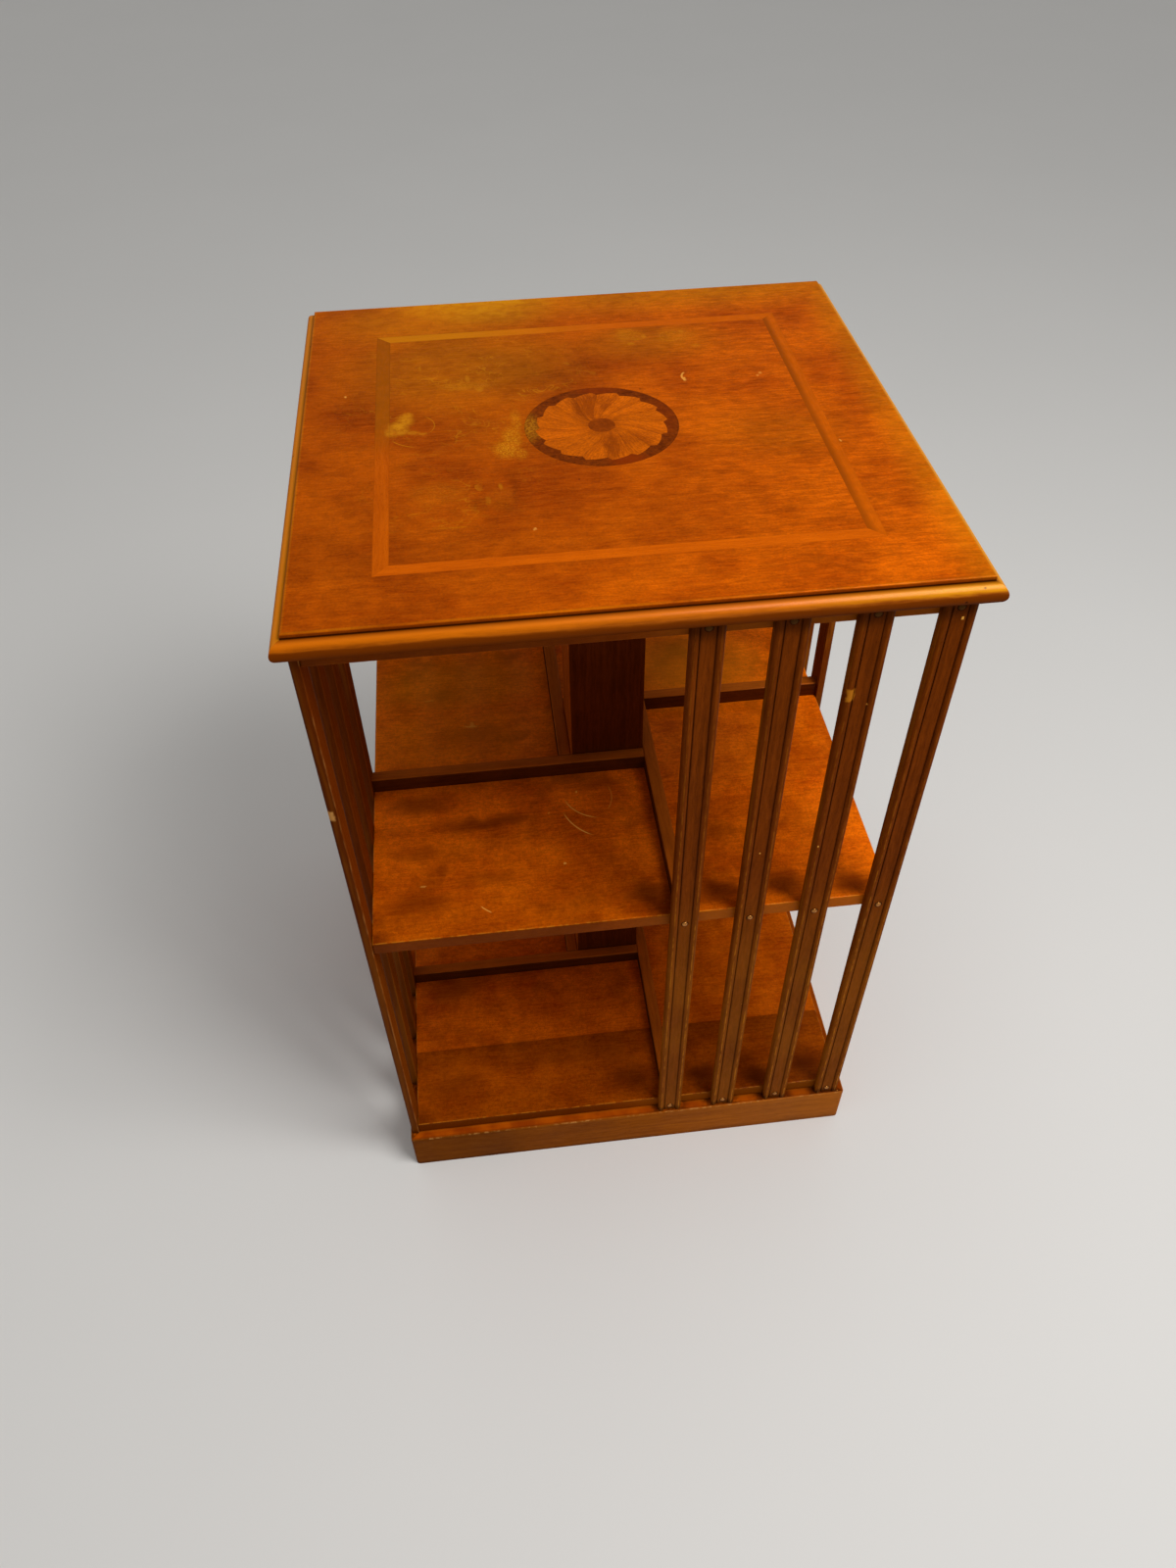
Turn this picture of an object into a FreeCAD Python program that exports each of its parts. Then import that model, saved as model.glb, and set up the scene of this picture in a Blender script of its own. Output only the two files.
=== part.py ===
import FreeCAD, Part
import math
import os

# Revolving bookcase. Millimetres, +Z up, origin at the centre of the plinth's underside, on the floor.
# The front faces -Y. The case is the same on all four sides: one side turned about Z gives the others.

# Driving sizes of the whole
top_width = 484.0
top_overhang = 7.5
plinth_ledge = 1.5
column_width = 70.0
plinth_height = 54.0
lower_tier_height = 312.0
upper_tier_height = 310.0
turning_gap = 2.0

# Boards
board_thickness = 14.0
board_edge_radius = 1.5
plinth_board_thickness = 18.0
plinth_corner_radius = 4.0
plinth_top_edge_radius = 2.0
plinth_panel_thickness = 15.0
glue_block_width = 30.0
glue_block_foot_gap = 6.0
column_board_thickness = 12.0
column_edge_radius = 1.0

# Stop rails that the backs of the books meet
rail_width = 12.0
rail_height = 16.0
rail_edge_radius = 1.5

# Slats, each with a bead along both edges and a sunk flat between them
slat_count = 4
slat_width = 24.5
slat_thickness = 7.5
slat_foot_gap = 1.5
first_slat_lap = 4.3
corner_slat_overhang = 1.0
bead_width = 6.6
quirk_width = 0.5
quirk_depth = 0.8
flat_depth = 1.3

# Domed nails with square shanks
nail_head_radius = 2.5
nail_shoulder_radius = 2.0
nail_shoulder_height = 0.8
nail_crown_radius = 1.1
nail_head_height = 1.3
nail_head_sides = 10
nail_shank_width = 1.4
nail_length = 20.0
upper_nail_rise = 3.0

# Top, a rebated board with a bullnose moulding let in under its raised field
moulding_thickness = 16.0
moulding_width = 22.0
field_inset = 8.0
field_height = 4.0
field_edge_radius = 1.2
top_screw_inset = 24.0

# Inlay, which lies a little nearer the front than the back
inlay_depth = 0.8
inlay_forward_shift = 4.0
banding_width = 11.4
banding_inset = 65.6
patera_radius = 60.4
ring_width_at_tip = 8.2
ring_width_at_shoulder = 9.7
ring_width_at_cusp = 12.0
boss_radius = 10.6
petal_count = 16
petal_swirl_degrees = 24.5
petal_tip_turn_degrees = 4.0
petal_bend_share = 0.72

# Ball-bearing swivel of two pressed plates
swivel_plate_width = 152.0
swivel_plate_thickness = 1.5
swivel_corner_radius = 10.0
swivel_height = 8.0
ball_radius = 2.4
ball_count = 12
ball_circle_radius = 54.0
ball_clearance = 0.2
race_rim_height = 1.6
race_rim_width = 2.2
race_slope = 1.6
collar_radius = 41.5
collar_wall = 1.5
collar_clearance = 0.5
collar_lip_width = 3.5
collar_lip_drop = 0.5
panel_hole_clearance = 3.0
access_hole_radius = 9.5

# Pan-head and countersunk wood screws
screw_shank_radius = 1.75
screw_head_radius = 3.6
screw_head_height = 2.0
plate_screw_length = 12.0
plate_screw_inset = 10.0
top_screw_length = 26.0

# How far a cutting shape runs past what it cuts, and how near two places count as the same
overrun = 5.0
same_place = 0.001

# Heights worked out from the sizes above
bottom_shelf_floor = plinth_height + turning_gap
bottom_shelf_top = bottom_shelf_floor + board_thickness
middle_shelf_floor = bottom_shelf_top + lower_tier_height
middle_shelf_top = middle_shelf_floor + board_thickness
upper_board_floor = middle_shelf_top + upper_tier_height
top_floor = upper_board_floor + board_thickness
field_floor = top_floor + moulding_thickness
top_surface = field_floor + field_height
swivel_floor = bottom_shelf_floor - swivel_height
panel_floor = swivel_floor - plinth_panel_thickness
ball_height = swivel_floor + swivel_height / 2

# Half widths and corners used by several pieces
half_top = top_width / 2
half_field = half_top - field_inset
half_core = half_top - moulding_width
slat_face = half_top - top_overhang
half_shelf = slat_face - slat_thickness
half_plinth = slat_face + plinth_ledge
half_column = column_width / 2
nose_radius = moulding_thickness / 2
patera_cusp_radius = patera_radius - ring_width_at_cusp
petal_tip_radius = patera_radius - ring_width_at_tip
petal_shoulder_radius = patera_radius - ring_width_at_shoulder

SIDES = ("front", "right", "back", "left")
QUARTER_TURN = 90.0
HALF_TURN = 180.0
FULL_TURN = 360.0
UP = FreeCAD.Vector(0, 0, 1)


def vector(x, y, z=0):
    return FreeCAD.Vector(x, y, z)


def turned(shape, degrees):
    """A copy turned about the upright axis of the case."""
    copy = shape.copy()
    copy.rotate(vector(0, 0), UP, degrees)
    return copy


def box(low, high):
    """A box between its lowest and its highest corner."""
    size = [b - a for a, b in zip(low, high)]
    return Part.makeBox(size[0], size[1], size[2], vector(*low))


def square_block(half, low, high):
    return box((-half, -half, low), (half, half, high))


def cylinder(radius, low, high, x=0, y=0):
    return Part.makeCylinder(radius, high - low, vector(x, y, low))


def outline(*edges):
    """A flat face from edges that meet end to end."""
    return Part.Face(Part.Wire(Part.__sortEdges__(list(edges))))


def polygon(points):
    return Part.Face(Part.makePolygon(list(points) + [points[0]]))


def line(a, b):
    return Part.LineSegment(a, b).toShape()


def arc(a, middle, b):
    return Part.Arc(a, middle, b).toShape()


def polar(radius, degrees, z=0):
    angle = math.radians(degrees)
    return vector(radius * math.cos(angle), radius * math.sin(angle), z)


def along(shape, axis):
    """The straight edges of a shape that run along one axis."""
    found = []
    for edge in shape.Edges:
        if isinstance(edge.Curve, Part.Line) and edge.Curve.Direction.cross(axis).Length < same_place:
            found.append(edge)
    return found


def front_quarter(reach, low, high):
    """A wedge over the front quarter of the plan, whose sides are the mitre planes."""
    wedge = polygon([vector(0, 0, low), vector(-reach, -reach, low), vector(reach, -reach, low)])
    return wedge.extrude(vector(0, 0, high - low))


def mitred_front(frame_solid, reach, low, high):
    return frame_solid.common(front_quarter(reach, low, high))


PIECES = {}


def keep(name, *solids):
    """Store a node: one solid, or a group of like ones."""
    PIECES[name] = solids[0] if len(solids) == 1 else Part.makeCompound(list(solids))


def on_all_sides(front_solids):
    """For each side, its name and the front solids turned onto it."""
    for index, side in enumerate(SIDES):
        yield side, [turned(solid, index * QUARTER_TURN) for solid in front_solids]


def keep_on_all_sides(name_pattern, front_solids):
    for side, solids in on_all_sides(front_solids):
        keep(name_pattern.format(side=side), *solids)


def inlaid(shape):
    """A copy moved from the axis of the case to the middle of the inlay."""
    copy = shape.copy()
    copy.translate(vector(0, -inlay_forward_shift))
    return copy


def eased(solid, radius, edges):
    return solid.makeFillet(radius, edges)


def level_edges(solid, height):
    """The edges that lie flat at one height."""
    found = []
    for edge in solid.Edges:
        bounds = edge.BoundBox
        if abs(bounds.ZMin - height) < same_place and abs(bounds.ZMax - height) < same_place:
            found.append(edge)
    return found


def slat_places():
    """The slats' centre lines along the front, from the one that laps the column to the corner one."""
    first = half_column - first_slat_lap + slat_width / 2
    last = half_shelf + corner_slat_overhang - slat_width / 2
    step = (last - first) / (slat_count - 1)
    return [first + index * step for index in range(slat_count)]


def nail_heights():
    """Each slat is nailed to the middle of both shelves' edges, and a little higher to the upper board."""
    bottom, middle, upper = [floor + board_thickness / 2
                             for floor in (bottom_shelf_floor, middle_shelf_floor, upper_board_floor)]
    return bottom, middle, upper + upper_nail_rise


def nail_seat():
    """How far out of the centre a nail's head sits, on the slat's sunk flat."""
    return slat_face - flat_depth


def nail_shank(x, height):
    half = nail_shank_width / 2
    return box((x - half, -nail_seat(), height - half), (x + half, nail_length - nail_seat(), height + half))


def nail(x, height):
    """A nail whose low domed head sits on the slat's flat."""
    rings = []
    for radius, rise in ((nail_head_radius, 0), (nail_shoulder_radius, nail_shoulder_height),
                         (nail_crown_radius, nail_head_height)):
        spokes = [polar(radius, side * FULL_TURN / nail_head_sides) for side in range(nail_head_sides + 1)]
        rings.append(Part.makePolygon([vector(x + spoke.x, -nail_seat() - rise, height + spoke.y)
                                       for spoke in spokes]))
    head = Part.makeLoft(rings, True, True)
    return head.fuse(nail_shank(x, height))


def nail_hole_block(height):
    """All the shank holes at one height, on the four sides."""
    front = [nail_shank(x, height) for x in slat_places()]
    holes = []
    for index in range(len(SIDES)):
        holes += [turned(shank, index * QUARTER_TURN) for shank in front]
    return Part.makeCompound(holes)


def plinth():
    frame = square_block(half_plinth, 0, plinth_height)
    frame = eased(frame, plinth_corner_radius, along(frame, UP))
    frame = eased(frame, plinth_top_edge_radius, level_edges(frame, plinth_height))
    inside = half_plinth - plinth_board_thickness
    frame = frame.cut(square_block(inside, -overrun, plinth_height + overrun))
    keep_on_all_sides("plinth_{side}_board", [mitred_front(frame, top_width, 0, plinth_height)])

    panel = square_block(inside, panel_floor, swivel_floor)
    hole_radius = collar_radius + collar_lip_width + panel_hole_clearance
    panel = panel.cut(cylinder(hole_radius, panel_floor - overrun, swivel_floor + overrun))
    screw_x, screw_y = plate_screw_places()[0]
    reach = math.hypot(screw_x, screw_y)
    panel = panel.cut(cylinder(access_hole_radius, panel_floor - overrun, swivel_floor + overrun, reach))
    for x, y in plate_screw_places():
        panel = panel.cut(lower_plate_screw(x, y))
    keep("plinth_top_panel", panel)

    corner = vector(-inside, -inside, glue_block_foot_gap)
    block = polygon([corner, corner + vector(glue_block_width, 0), corner + vector(0, glue_block_width)])
    block = block.extrude(vector(0, 0, panel_floor - glue_block_foot_gap))
    keep("plinth_glue_blocks", *[turned(block, index * QUARTER_TURN) for index in range(len(SIDES))])


def plate_screw_places():
    offset = swivel_plate_width / 2 - plate_screw_inset
    return [(offset * x, offset * y) for x, y in ((1, 1), (-1, 1), (-1, -1), (1, -1))]


def pan_head_screw(x, y, seat, direction):
    """A pan-head screw whose head sits on a plate and whose shank points up (1) or down (-1)."""
    rim = screw_head_radius - screw_head_height / 2
    points = [(0, -screw_head_height), (rim, -screw_head_height), (screw_head_radius, -screw_head_height / 2),
              (screw_head_radius, 0), (screw_shank_radius, 0), (screw_shank_radius, plate_screw_length),
              (0, plate_screw_length)]
    section = polygon([vector(r, 0, direction * z) for r, z in points])
    screw = section.revolve(vector(0, 0), UP, FULL_TURN)
    screw.translate(vector(x, y, seat))
    return screw


def lower_plate_screw(x, y):
    return pan_head_screw(x, y, swivel_floor + swivel_plate_thickness, -1)


def upper_plate_screw(x, y):
    return pan_head_screw(x, y, bottom_shelf_floor - swivel_plate_thickness, 1)


def race_rim():
    """The pressed ring of the lower plate that holds the balls, turned about the axis of the case."""
    plate_top = swivel_floor + swivel_plate_thickness
    groove_radius = ball_radius + ball_clearance
    rim_top = plate_top + race_rim_height
    half_groove = math.sqrt(groove_radius ** 2 - (ball_height - rim_top) ** 2)
    half_rim = half_groove + race_rim_width
    half_foot = half_rim + race_slope

    def at(offset, height):
        return vector(ball_circle_radius + offset, 0, height)

    section = outline(
        line(at(-half_foot, swivel_floor), at(-half_foot, plate_top)),
        line(at(-half_foot, plate_top), at(-half_rim, rim_top)),
        line(at(-half_rim, rim_top), at(-half_groove, rim_top)),
        arc(at(-half_groove, rim_top), at(0, ball_height - groove_radius), at(half_groove, rim_top)),
        line(at(half_groove, rim_top), at(half_rim, rim_top)),
        line(at(half_rim, rim_top), at(half_foot, plate_top)),
        line(at(half_foot, plate_top), at(half_foot, swivel_floor)),
        line(at(half_foot, swivel_floor), at(-half_foot, swivel_floor)))
    return section.revolve(vector(0, 0), UP, FULL_TURN), half_foot


def swivel_plate(hole_radius):
    """The lower plate: a rounded square of sheet, its race, its central hole and its screw holes."""
    top = swivel_floor + swivel_plate_thickness
    sheet = square_block(swivel_plate_width / 2, swivel_floor, top)
    sheet = eased(sheet, swivel_corner_radius, along(sheet, UP))
    rim, half_foot = race_rim()
    outer = cylinder(ball_circle_radius + half_foot, swivel_floor - overrun, top + overrun)
    ring_gap = outer.cut(cylinder(ball_circle_radius - half_foot, swivel_floor - overrun, top + overrun))
    sheet = sheet.cut(ring_gap).fuse(rim)
    sheet = sheet.cut(cylinder(hole_radius, swivel_floor - overrun, top + overrun))
    for x, y in plate_screw_places():
        sheet = sheet.cut(cylinder(screw_shank_radius, swivel_floor - overrun, top + overrun, x, y))
    return sheet.removeSplitter()


def flipped(shape):
    """A copy turned upside down about the height of the balls' centres."""
    copy = shape.copy()
    copy.rotate(vector(0, 0, ball_height), vector(1, 0), HALF_TURN)
    return copy


def swivel():
    keep("swivel_lower_plate", swivel_plate(collar_radius + collar_clearance))
    keep("lower_plate_screws", *[lower_plate_screw(x, y) for x, y in plate_screw_places()])

    upper = flipped(swivel_plate(collar_radius - collar_wall))
    plate_floor = bottom_shelf_floor - swivel_plate_thickness
    lip_top = swivel_floor - collar_lip_drop
    lip_floor = lip_top - collar_wall
    bore = collar_radius - collar_wall
    lip_radius = collar_radius + collar_lip_width
    section = [(bore, lip_floor), (lip_radius, lip_floor), (lip_radius, lip_top), (collar_radius, lip_top),
               (collar_radius, plate_floor), (bore, plate_floor)]
    collar = polygon([vector(r, 0, z) for r, z in section]).revolve(vector(0, 0), UP, FULL_TURN)
    keep("swivel_upper_plate", upper.fuse(collar).removeSplitter())
    keep("upper_plate_screws", *[upper_plate_screw(x, y) for x, y in plate_screw_places()])

    step = FULL_TURN / ball_count
    places = [polar(ball_circle_radius, index * step, ball_height) for index in range(ball_count)]
    keep("swivel_balls", *[Part.makeSphere(ball_radius, place) for place in places])


def shelf_board(floor, nail_height):
    """A square board with eased edges and the nail holes in its four edges."""
    board = square_block(half_shelf, floor, floor + board_thickness)
    board = eased(board, board_edge_radius, board.Edges)
    return board.cut(nail_hole_block(nail_height))


def shelves():
    bottom_nails, middle_nails, upper_nails = nail_heights()
    bottom = shelf_board(bottom_shelf_floor, bottom_nails)
    for x, y in plate_screw_places():
        bottom = bottom.cut(upper_plate_screw(x, y))
    keep("bottom_shelf", bottom)

    middle = shelf_board(middle_shelf_floor, middle_nails)
    column_hole = square_block(half_column, middle_shelf_floor - overrun, middle_shelf_top + overrun)
    keep("middle_shelf", middle.cut(column_hole))

    upper = shelf_board(upper_board_floor, upper_nails)
    for x, y in top_screw_places():
        upper = upper.cut(top_screw(x, y))
    keep("upper_board", upper)


def column():
    """Four boards butted round, each covering the edge of the next."""
    low = (-half_column, -half_column, bottom_shelf_top)
    high = (half_column - column_board_thickness, column_board_thickness - half_column, upper_board_floor)
    board = box(low, high)
    corner = [edge for edge in along(board, UP)
              if edge.CenterOfMass.x < same_place - half_column and edge.CenterOfMass.y < same_place - half_column]
    keep_on_all_sides("column_{side}_board", [eased(board, column_edge_radius, corner)])


def stop_rails():
    """Each rail lies behind one compartment, in front of the column, and butts against the next."""
    for tier, floor in (("lower", bottom_shelf_top), ("upper", middle_shelf_top)):
        low = (-half_shelf, -half_column - rail_width, floor)
        high = (half_column, -half_column, floor + rail_height)
        rail = box(low, high)
        top_edges = [edge for edge in along(rail, vector(1, 0))
                     if edge.CenterOfMass.z > floor + rail_height - same_place]
        keep_on_all_sides(tier + "_{side}_rail", [eased(rail, rail_edge_radius, top_edges)])


def slat_section(x):
    """Plan of a slat: flat back, a half-round bead along each edge, quirks and a sunk flat between them."""
    height = plinth_height + slat_foot_gap
    bead_radius = bead_width / 2
    bead_base = slat_thickness - bead_radius
    half = slat_width / 2
    crest = half - bead_radius
    flat = slat_thickness - flat_depth
    quirk = flat - quirk_depth
    bead_foot = crest - math.sqrt(bead_radius ** 2 - (quirk - bead_base) ** 2)
    flat_edge = bead_foot - quirk_width

    def at(across, out):
        return vector(x + across, -half_shelf - out, height)

    return outline(
        line(at(-half, 0), at(half, 0)),
        line(at(half, 0), at(half, bead_base)),
        arc(at(half, bead_base), at(crest, slat_thickness), at(bead_foot, quirk)),
        line(at(bead_foot, quirk), at(flat_edge, quirk)),
        line(at(flat_edge, quirk), at(flat_edge, flat)),
        line(at(flat_edge, flat), at(-flat_edge, flat)),
        line(at(-flat_edge, flat), at(-flat_edge, quirk)),
        line(at(-flat_edge, quirk), at(-bead_foot, quirk)),
        arc(at(-bead_foot, quirk), at(-crest, slat_thickness), at(-half, bead_base)),
        line(at(-half, bead_base), at(-half, 0)))


def slats():
    length = top_floor - plinth_height - slat_foot_gap
    nails = []
    for number, x in enumerate(slat_places(), start=1):
        slat = slat_section(x).extrude(vector(0, 0, length))
        for height in nail_heights():
            slat = slat.cut(nail_shank(x, height))
            nails.append(nail(x, height))
        keep_on_all_sides("{side}_slat_" + str(number), [slat])
    keep_on_all_sides("{side}_slat_nails", nails)


def top_screw_places():
    offset = half_core - top_screw_inset
    return [(offset * x, offset * y) for x in (-1, 1) for y in (-1, 1)]


def top_screw(x, y):
    """A countersunk screw driven up through the upper board into the top."""
    points = [(0, 0), (screw_head_radius, 0), (screw_shank_radius, screw_head_height),
              (screw_shank_radius, top_screw_length), (0, top_screw_length)]
    screw = polygon([vector(r, 0, z) for r, z in points]).revolve(vector(0, 0), UP, FULL_TURN)
    screw.translate(vector(x, y, upper_board_floor))
    return screw


def top():
    core = square_block(half_core, top_floor, field_floor)
    field = square_block(half_field, field_floor, top_surface)
    field = eased(field, field_edge_radius, level_edges(field, top_surface))
    board = core.fuse(field)
    pocket_floor = top_surface - inlay_depth
    outer = half_top - banding_inset
    inner = outer - banding_width
    channel = square_block(outer, pocket_floor, top_surface + overrun)
    channel = channel.cut(square_block(inner, pocket_floor - overrun, top_surface + overrun))
    board = board.cut(inlaid(channel))
    board = board.cut(inlaid(cylinder(patera_radius, pocket_floor, top_surface + overrun)))
    for x, y in top_screw_places():
        board = board.cut(top_screw(x, y))
    keep("top_board", board)
    keep("top_screws", *[top_screw(x, y) for x, y in top_screw_places()])

    keep_on_all_sides("top_{side}_moulding", [mitred_moulding()])

    strip = polygon([vector(-outer, -outer, pocket_floor), vector(outer, -outer, pocket_floor),
                     vector(inner, -inner, pocket_floor), vector(-inner, -inner, pocket_floor)])
    for side, solids in on_all_sides([strip.extrude(vector(0, 0, inlay_depth))]):
        keep("banding_" + side, *[inlaid(solid) for solid in solids])


def mitred_moulding():
    """The front bullnose: a half-round nose on a flat tongue, mitred at both ends."""
    nose_line = nose_radius - half_top
    back_line = -half_core
    middle = top_floor + nose_radius

    def at(y, z):
        return vector(-half_top, y, z)

    section = outline(
        line(at(back_line, top_floor), at(nose_line, top_floor)),
        arc(at(nose_line, top_floor), at(-half_top, middle), at(nose_line, field_floor)),
        line(at(nose_line, field_floor), at(back_line, field_floor)),
        line(at(back_line, field_floor), at(back_line, top_floor)))
    return mitred_front(section.extrude(vector(top_width, 0)), top_width, top_floor - overrun, field_floor + overrun)


def petal_side(index, height):
    """One curved side between two petals, from the boss out to the ring's cusp."""
    start = index * FULL_TURN / petal_count
    bend = (boss_radius + patera_cusp_radius) / 2
    return (polar(boss_radius, start, height),
            polar(bend, start - petal_bend_share * petal_swirl_degrees, height),
            polar(patera_cusp_radius, start - petal_swirl_degrees, height))


def petal_end(index, height):
    """A petal's outer end: straight out from one cusp to the tip, then over the shoulder to the next."""
    step = FULL_TURN / petal_count
    cusp_angle = index * step - petal_swirl_degrees
    tip = polar(petal_tip_radius, cusp_angle + petal_tip_turn_degrees, height)
    shoulder = polar(petal_shoulder_radius, cusp_angle + (petal_tip_turn_degrees + step) / 2, height)
    return [line(petal_side(index, height)[2], tip), arc(tip, shoulder, petal_side(index + 1, height)[2])]


def patera():
    floor = top_surface - inlay_depth
    rise = vector(0, 0, inlay_depth)
    petals = []
    ends = []
    for index in range(petal_count):
        near, far = petal_side(index, floor), petal_side(index + 1, floor)
        root_angle = (index + 1 / 2) * FULL_TURN / petal_count
        root = arc(near[0], polar(boss_radius, root_angle, floor), far[0])
        petals.append(outline(root, arc(*near), *petal_end(index, floor), arc(*far)).extrude(rise))
        ends += petal_end(index, floor)
    rosette = outline(*ends).extrude(rise)
    keep("patera_petals", *[inlaid(petal) for petal in petals])
    keep("patera_ring", inlaid(cylinder(patera_radius, floor, top_surface).cut(rosette)))
    keep("patera_boss", inlaid(cylinder(boss_radius, floor, top_surface)))


def main():
    plinth()
    swivel()
    shelves()
    column()
    stop_rails()
    slats()
    top()
    patera()
    os.makedirs("parts", exist_ok=True)
    for name, shape in PIECES.items():
        shape.exportStep("parts/" + name + ".step")
    print(len(PIECES), "nodes,", sum(len(shape.Solids) for shape in PIECES.values()), "solids")


main()
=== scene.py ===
"""Looks of the revolving bookcase: polished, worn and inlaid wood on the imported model, and a plain studio."""

import math
import random
from functools import reduce

import bmesh
import bpy
from bpy.props import FloatProperty, FloatVectorProperty, PointerProperty
from mathutils import Matrix, Vector


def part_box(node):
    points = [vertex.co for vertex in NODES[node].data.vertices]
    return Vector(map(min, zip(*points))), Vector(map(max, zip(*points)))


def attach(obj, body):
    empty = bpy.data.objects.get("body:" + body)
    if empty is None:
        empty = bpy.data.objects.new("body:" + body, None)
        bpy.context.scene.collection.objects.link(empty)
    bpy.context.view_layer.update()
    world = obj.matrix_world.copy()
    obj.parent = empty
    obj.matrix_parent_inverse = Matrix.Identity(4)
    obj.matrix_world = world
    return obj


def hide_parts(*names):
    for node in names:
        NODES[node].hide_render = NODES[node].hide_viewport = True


bl_info = {
    "name": "Revolving Bookcase",
    "version": (1, 0, 0),
    "blender": (4, 5, 0),
    "location": "View3D > Sidebar > Bookcase",
    "description": "Finishes a packed revolving bookcase and sets up its studio",
    "category": "Object",
}

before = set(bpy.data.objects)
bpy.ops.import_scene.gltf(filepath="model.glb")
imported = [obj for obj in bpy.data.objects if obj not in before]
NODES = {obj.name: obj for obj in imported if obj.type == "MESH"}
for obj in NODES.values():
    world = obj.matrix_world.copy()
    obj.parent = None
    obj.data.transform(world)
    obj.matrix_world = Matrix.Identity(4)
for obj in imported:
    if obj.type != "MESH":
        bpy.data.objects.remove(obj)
SIDES = ("front", "right", "back", "left")
# The sides whose long pieces lie along each axis
LONG_SIDES = {"x": ("front", "back"), "y": ("right", "left")}
SLAT_NUMBERS = ("1", "2", "3", "4")
MM = 1000.0


def highest(node):
    """A node's highest corner, in millimetres."""
    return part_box(node)[1] * MM


def lowest(node):
    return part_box(node)[0] * MM


def middle_of(node):
    """A node's middle, in metres."""
    return sum(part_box(node), Vector()) / 2


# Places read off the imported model, in millimetres
HALF_FIELD = highest("top_board").x
TOP_SURFACE = highest("top_board").z
NOSE_FLOOR, NOSE_TOP = lowest("top_front_moulding").z, highest("top_front_moulding").z
BANDING_OUTSIDE = highest("banding_front").x
BANDING_INSIDE = BANDING_OUTSIDE - (highest("banding_front").y - lowest("banding_front").y)
INLAY_CENTRE = middle_of("patera_ring") * MM
RING_RADIUS = highest("patera_ring").x
BOSS_RADIUS = highest("patera_boss").x
HALF_SHELF = highest("bottom_shelf").x
HALF_PLINTH = highest("plinth_right_board").x
PLINTH_HEIGHT = highest("plinth_front_board").z
SLAT_WIDTH = highest("front_slat_1").x - lowest("front_slat_1").x
SLAT_FOOT = lowest("front_slat_1").z
SLAT_MIDDLES = [middle_of("front_slat_" + number).x for number in SLAT_NUMBERS]

# The patera: the radius of the cusps between its petals, one petal's turn, the sweep of a petal's sides in
# degrees and the share by which it bends
CUSP_RADIUS = RING_RADIUS - 12
PETAL_TURN = 360 / 16
PETAL_SWEEP = 24.5
PETAL_BEND = 0.88

# Domed nails: how far the head's rim is sunk and stands, as shares of its height; the shank's half width as a
# share of the head's radius, its tip as a share of that, its length in metres; and the lean in degrees
RIM_SUNK, RIM_STANDS = 0.15, 0.12
SHANK_SHARE, TIP_SHARE, SHANK_LENGTH = 0.28, 0.4, 0.018
NAIL_LEAN = 5
DOME_SEGMENTS, DOME_RINGS = 28, 6

# Marks of use and some painted light and shade, as spots on the plan: the middle and the reach along x and y,
# in millimetres, and the strength
RUBBED_PATCHES = (
    (-151, 31, 4, 5, 0.7), (-153, 24, 6, 8, 0.85), (-158, 15, 7, 7, 0.9), (-163, 7, 5, 7, 0.65),
    (-156, 8, 6, 6, 0.7), (-147, 4, 5, 3, 0.55), (-140, 2, 4, 2, 0.4), (-101, 86, 2, 6, 0.4),
    (-92, 67, 3, 4, 0.45), (-109, 70, 10, 3, 0.25), (-140, 110, 1, 4, 0.35), (48, 138, 5, 2, 0.4),
    (42, 130, 3, 2, 0.4), (55, 143, 2, 4, 0.4), (38, 148, 5, 14, 0.25), (89, 147, 2, 3, 0.45),
    (97, 119, 3, 3, 0.3), (-84, -82, 1.5, 4, 0.4), (-94, -99, 2, 5, 0.35))
GRITTY_PATCHES = (
    (-66, 10, 4, 18, 0.5), (-71, -14, 7, 16, 0.7), (-76, -30, 9, 12, 0.85), (-66, -38, 5, 7, 0.6),
    (-103, 74, 20, 6, 0.35), (42, 148, 12, 11, 0.3), (82, 140, 15, 12, 0.25), (-84, -98, 10, 14, 0.12),
    (-130, -85, 20, 14, 0.18))
FIELD_SHADES = ((-25, 105, 46, 46, 0.24), (-190, -190, 110, 80, 0.1), (215, 225, 130, 60, 0.12))
# Golden spots on the field: yellowed lacquer, with a painted reflection along the back and back-left
FIELD_GOLDEN = (
    (-85, 245, 75, 55, 1), (-130, 200, 80, 45, 0.4), (60, 245, 230, 46, 0.45), (-110, 110, 80, 70, 0.3),
    (-70, 5, 50, 40, 0.08), (60, 135, 50, 32, 0.25), (135, -30, 50, 30, 0.15))
# Brighter spots on the field, among them a painted reflection at the back-left
FIELD_BRIGHT = ((-88, 240, 70, 34, 0.18), (100, 52, 90, 22, 0.08), (135, -35, 55, 30, 0.1))
FIELD_HAZE = ((-95, 60, 95, 110, 1), (-125, -95, 60, 45, 0.8))
FIELD_CHIPS = (
    (77, 61, 1.3, 3.2, 0.9), (141, 63, 1.2, 1.6, 0.5), (138, 59, 1.1, 1.2, 0.5), (-201, 69, 1.1, 1.5, 0.8),
    (178, -52, 1, 1.6, 0.7), (-64, -139, 1, 1.6, 0.6))
FIELD_SMUDGES = (
    (-100, -104, 8, 10, 1), (-74, -80, 4, 20, 0.9), (-78, -112, 6, 8, 0.6), (150, -60, 30, 14, 0.6),
    (-125, -133, 26, 2, 0.7))
DARK_SECTORS = ((-10, 27, 9, 22, 1), (4, 32, 8, 14, 0.6), (5, -34, 9, 17, 0.9), (24, -27, 14, 10, 0.5))
REDDER_RING = ((3, 53, 17, 8, 0.6), (14, -58, 14, 8, 0.8), (52, 8, 8, 30, 0.3))
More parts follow.
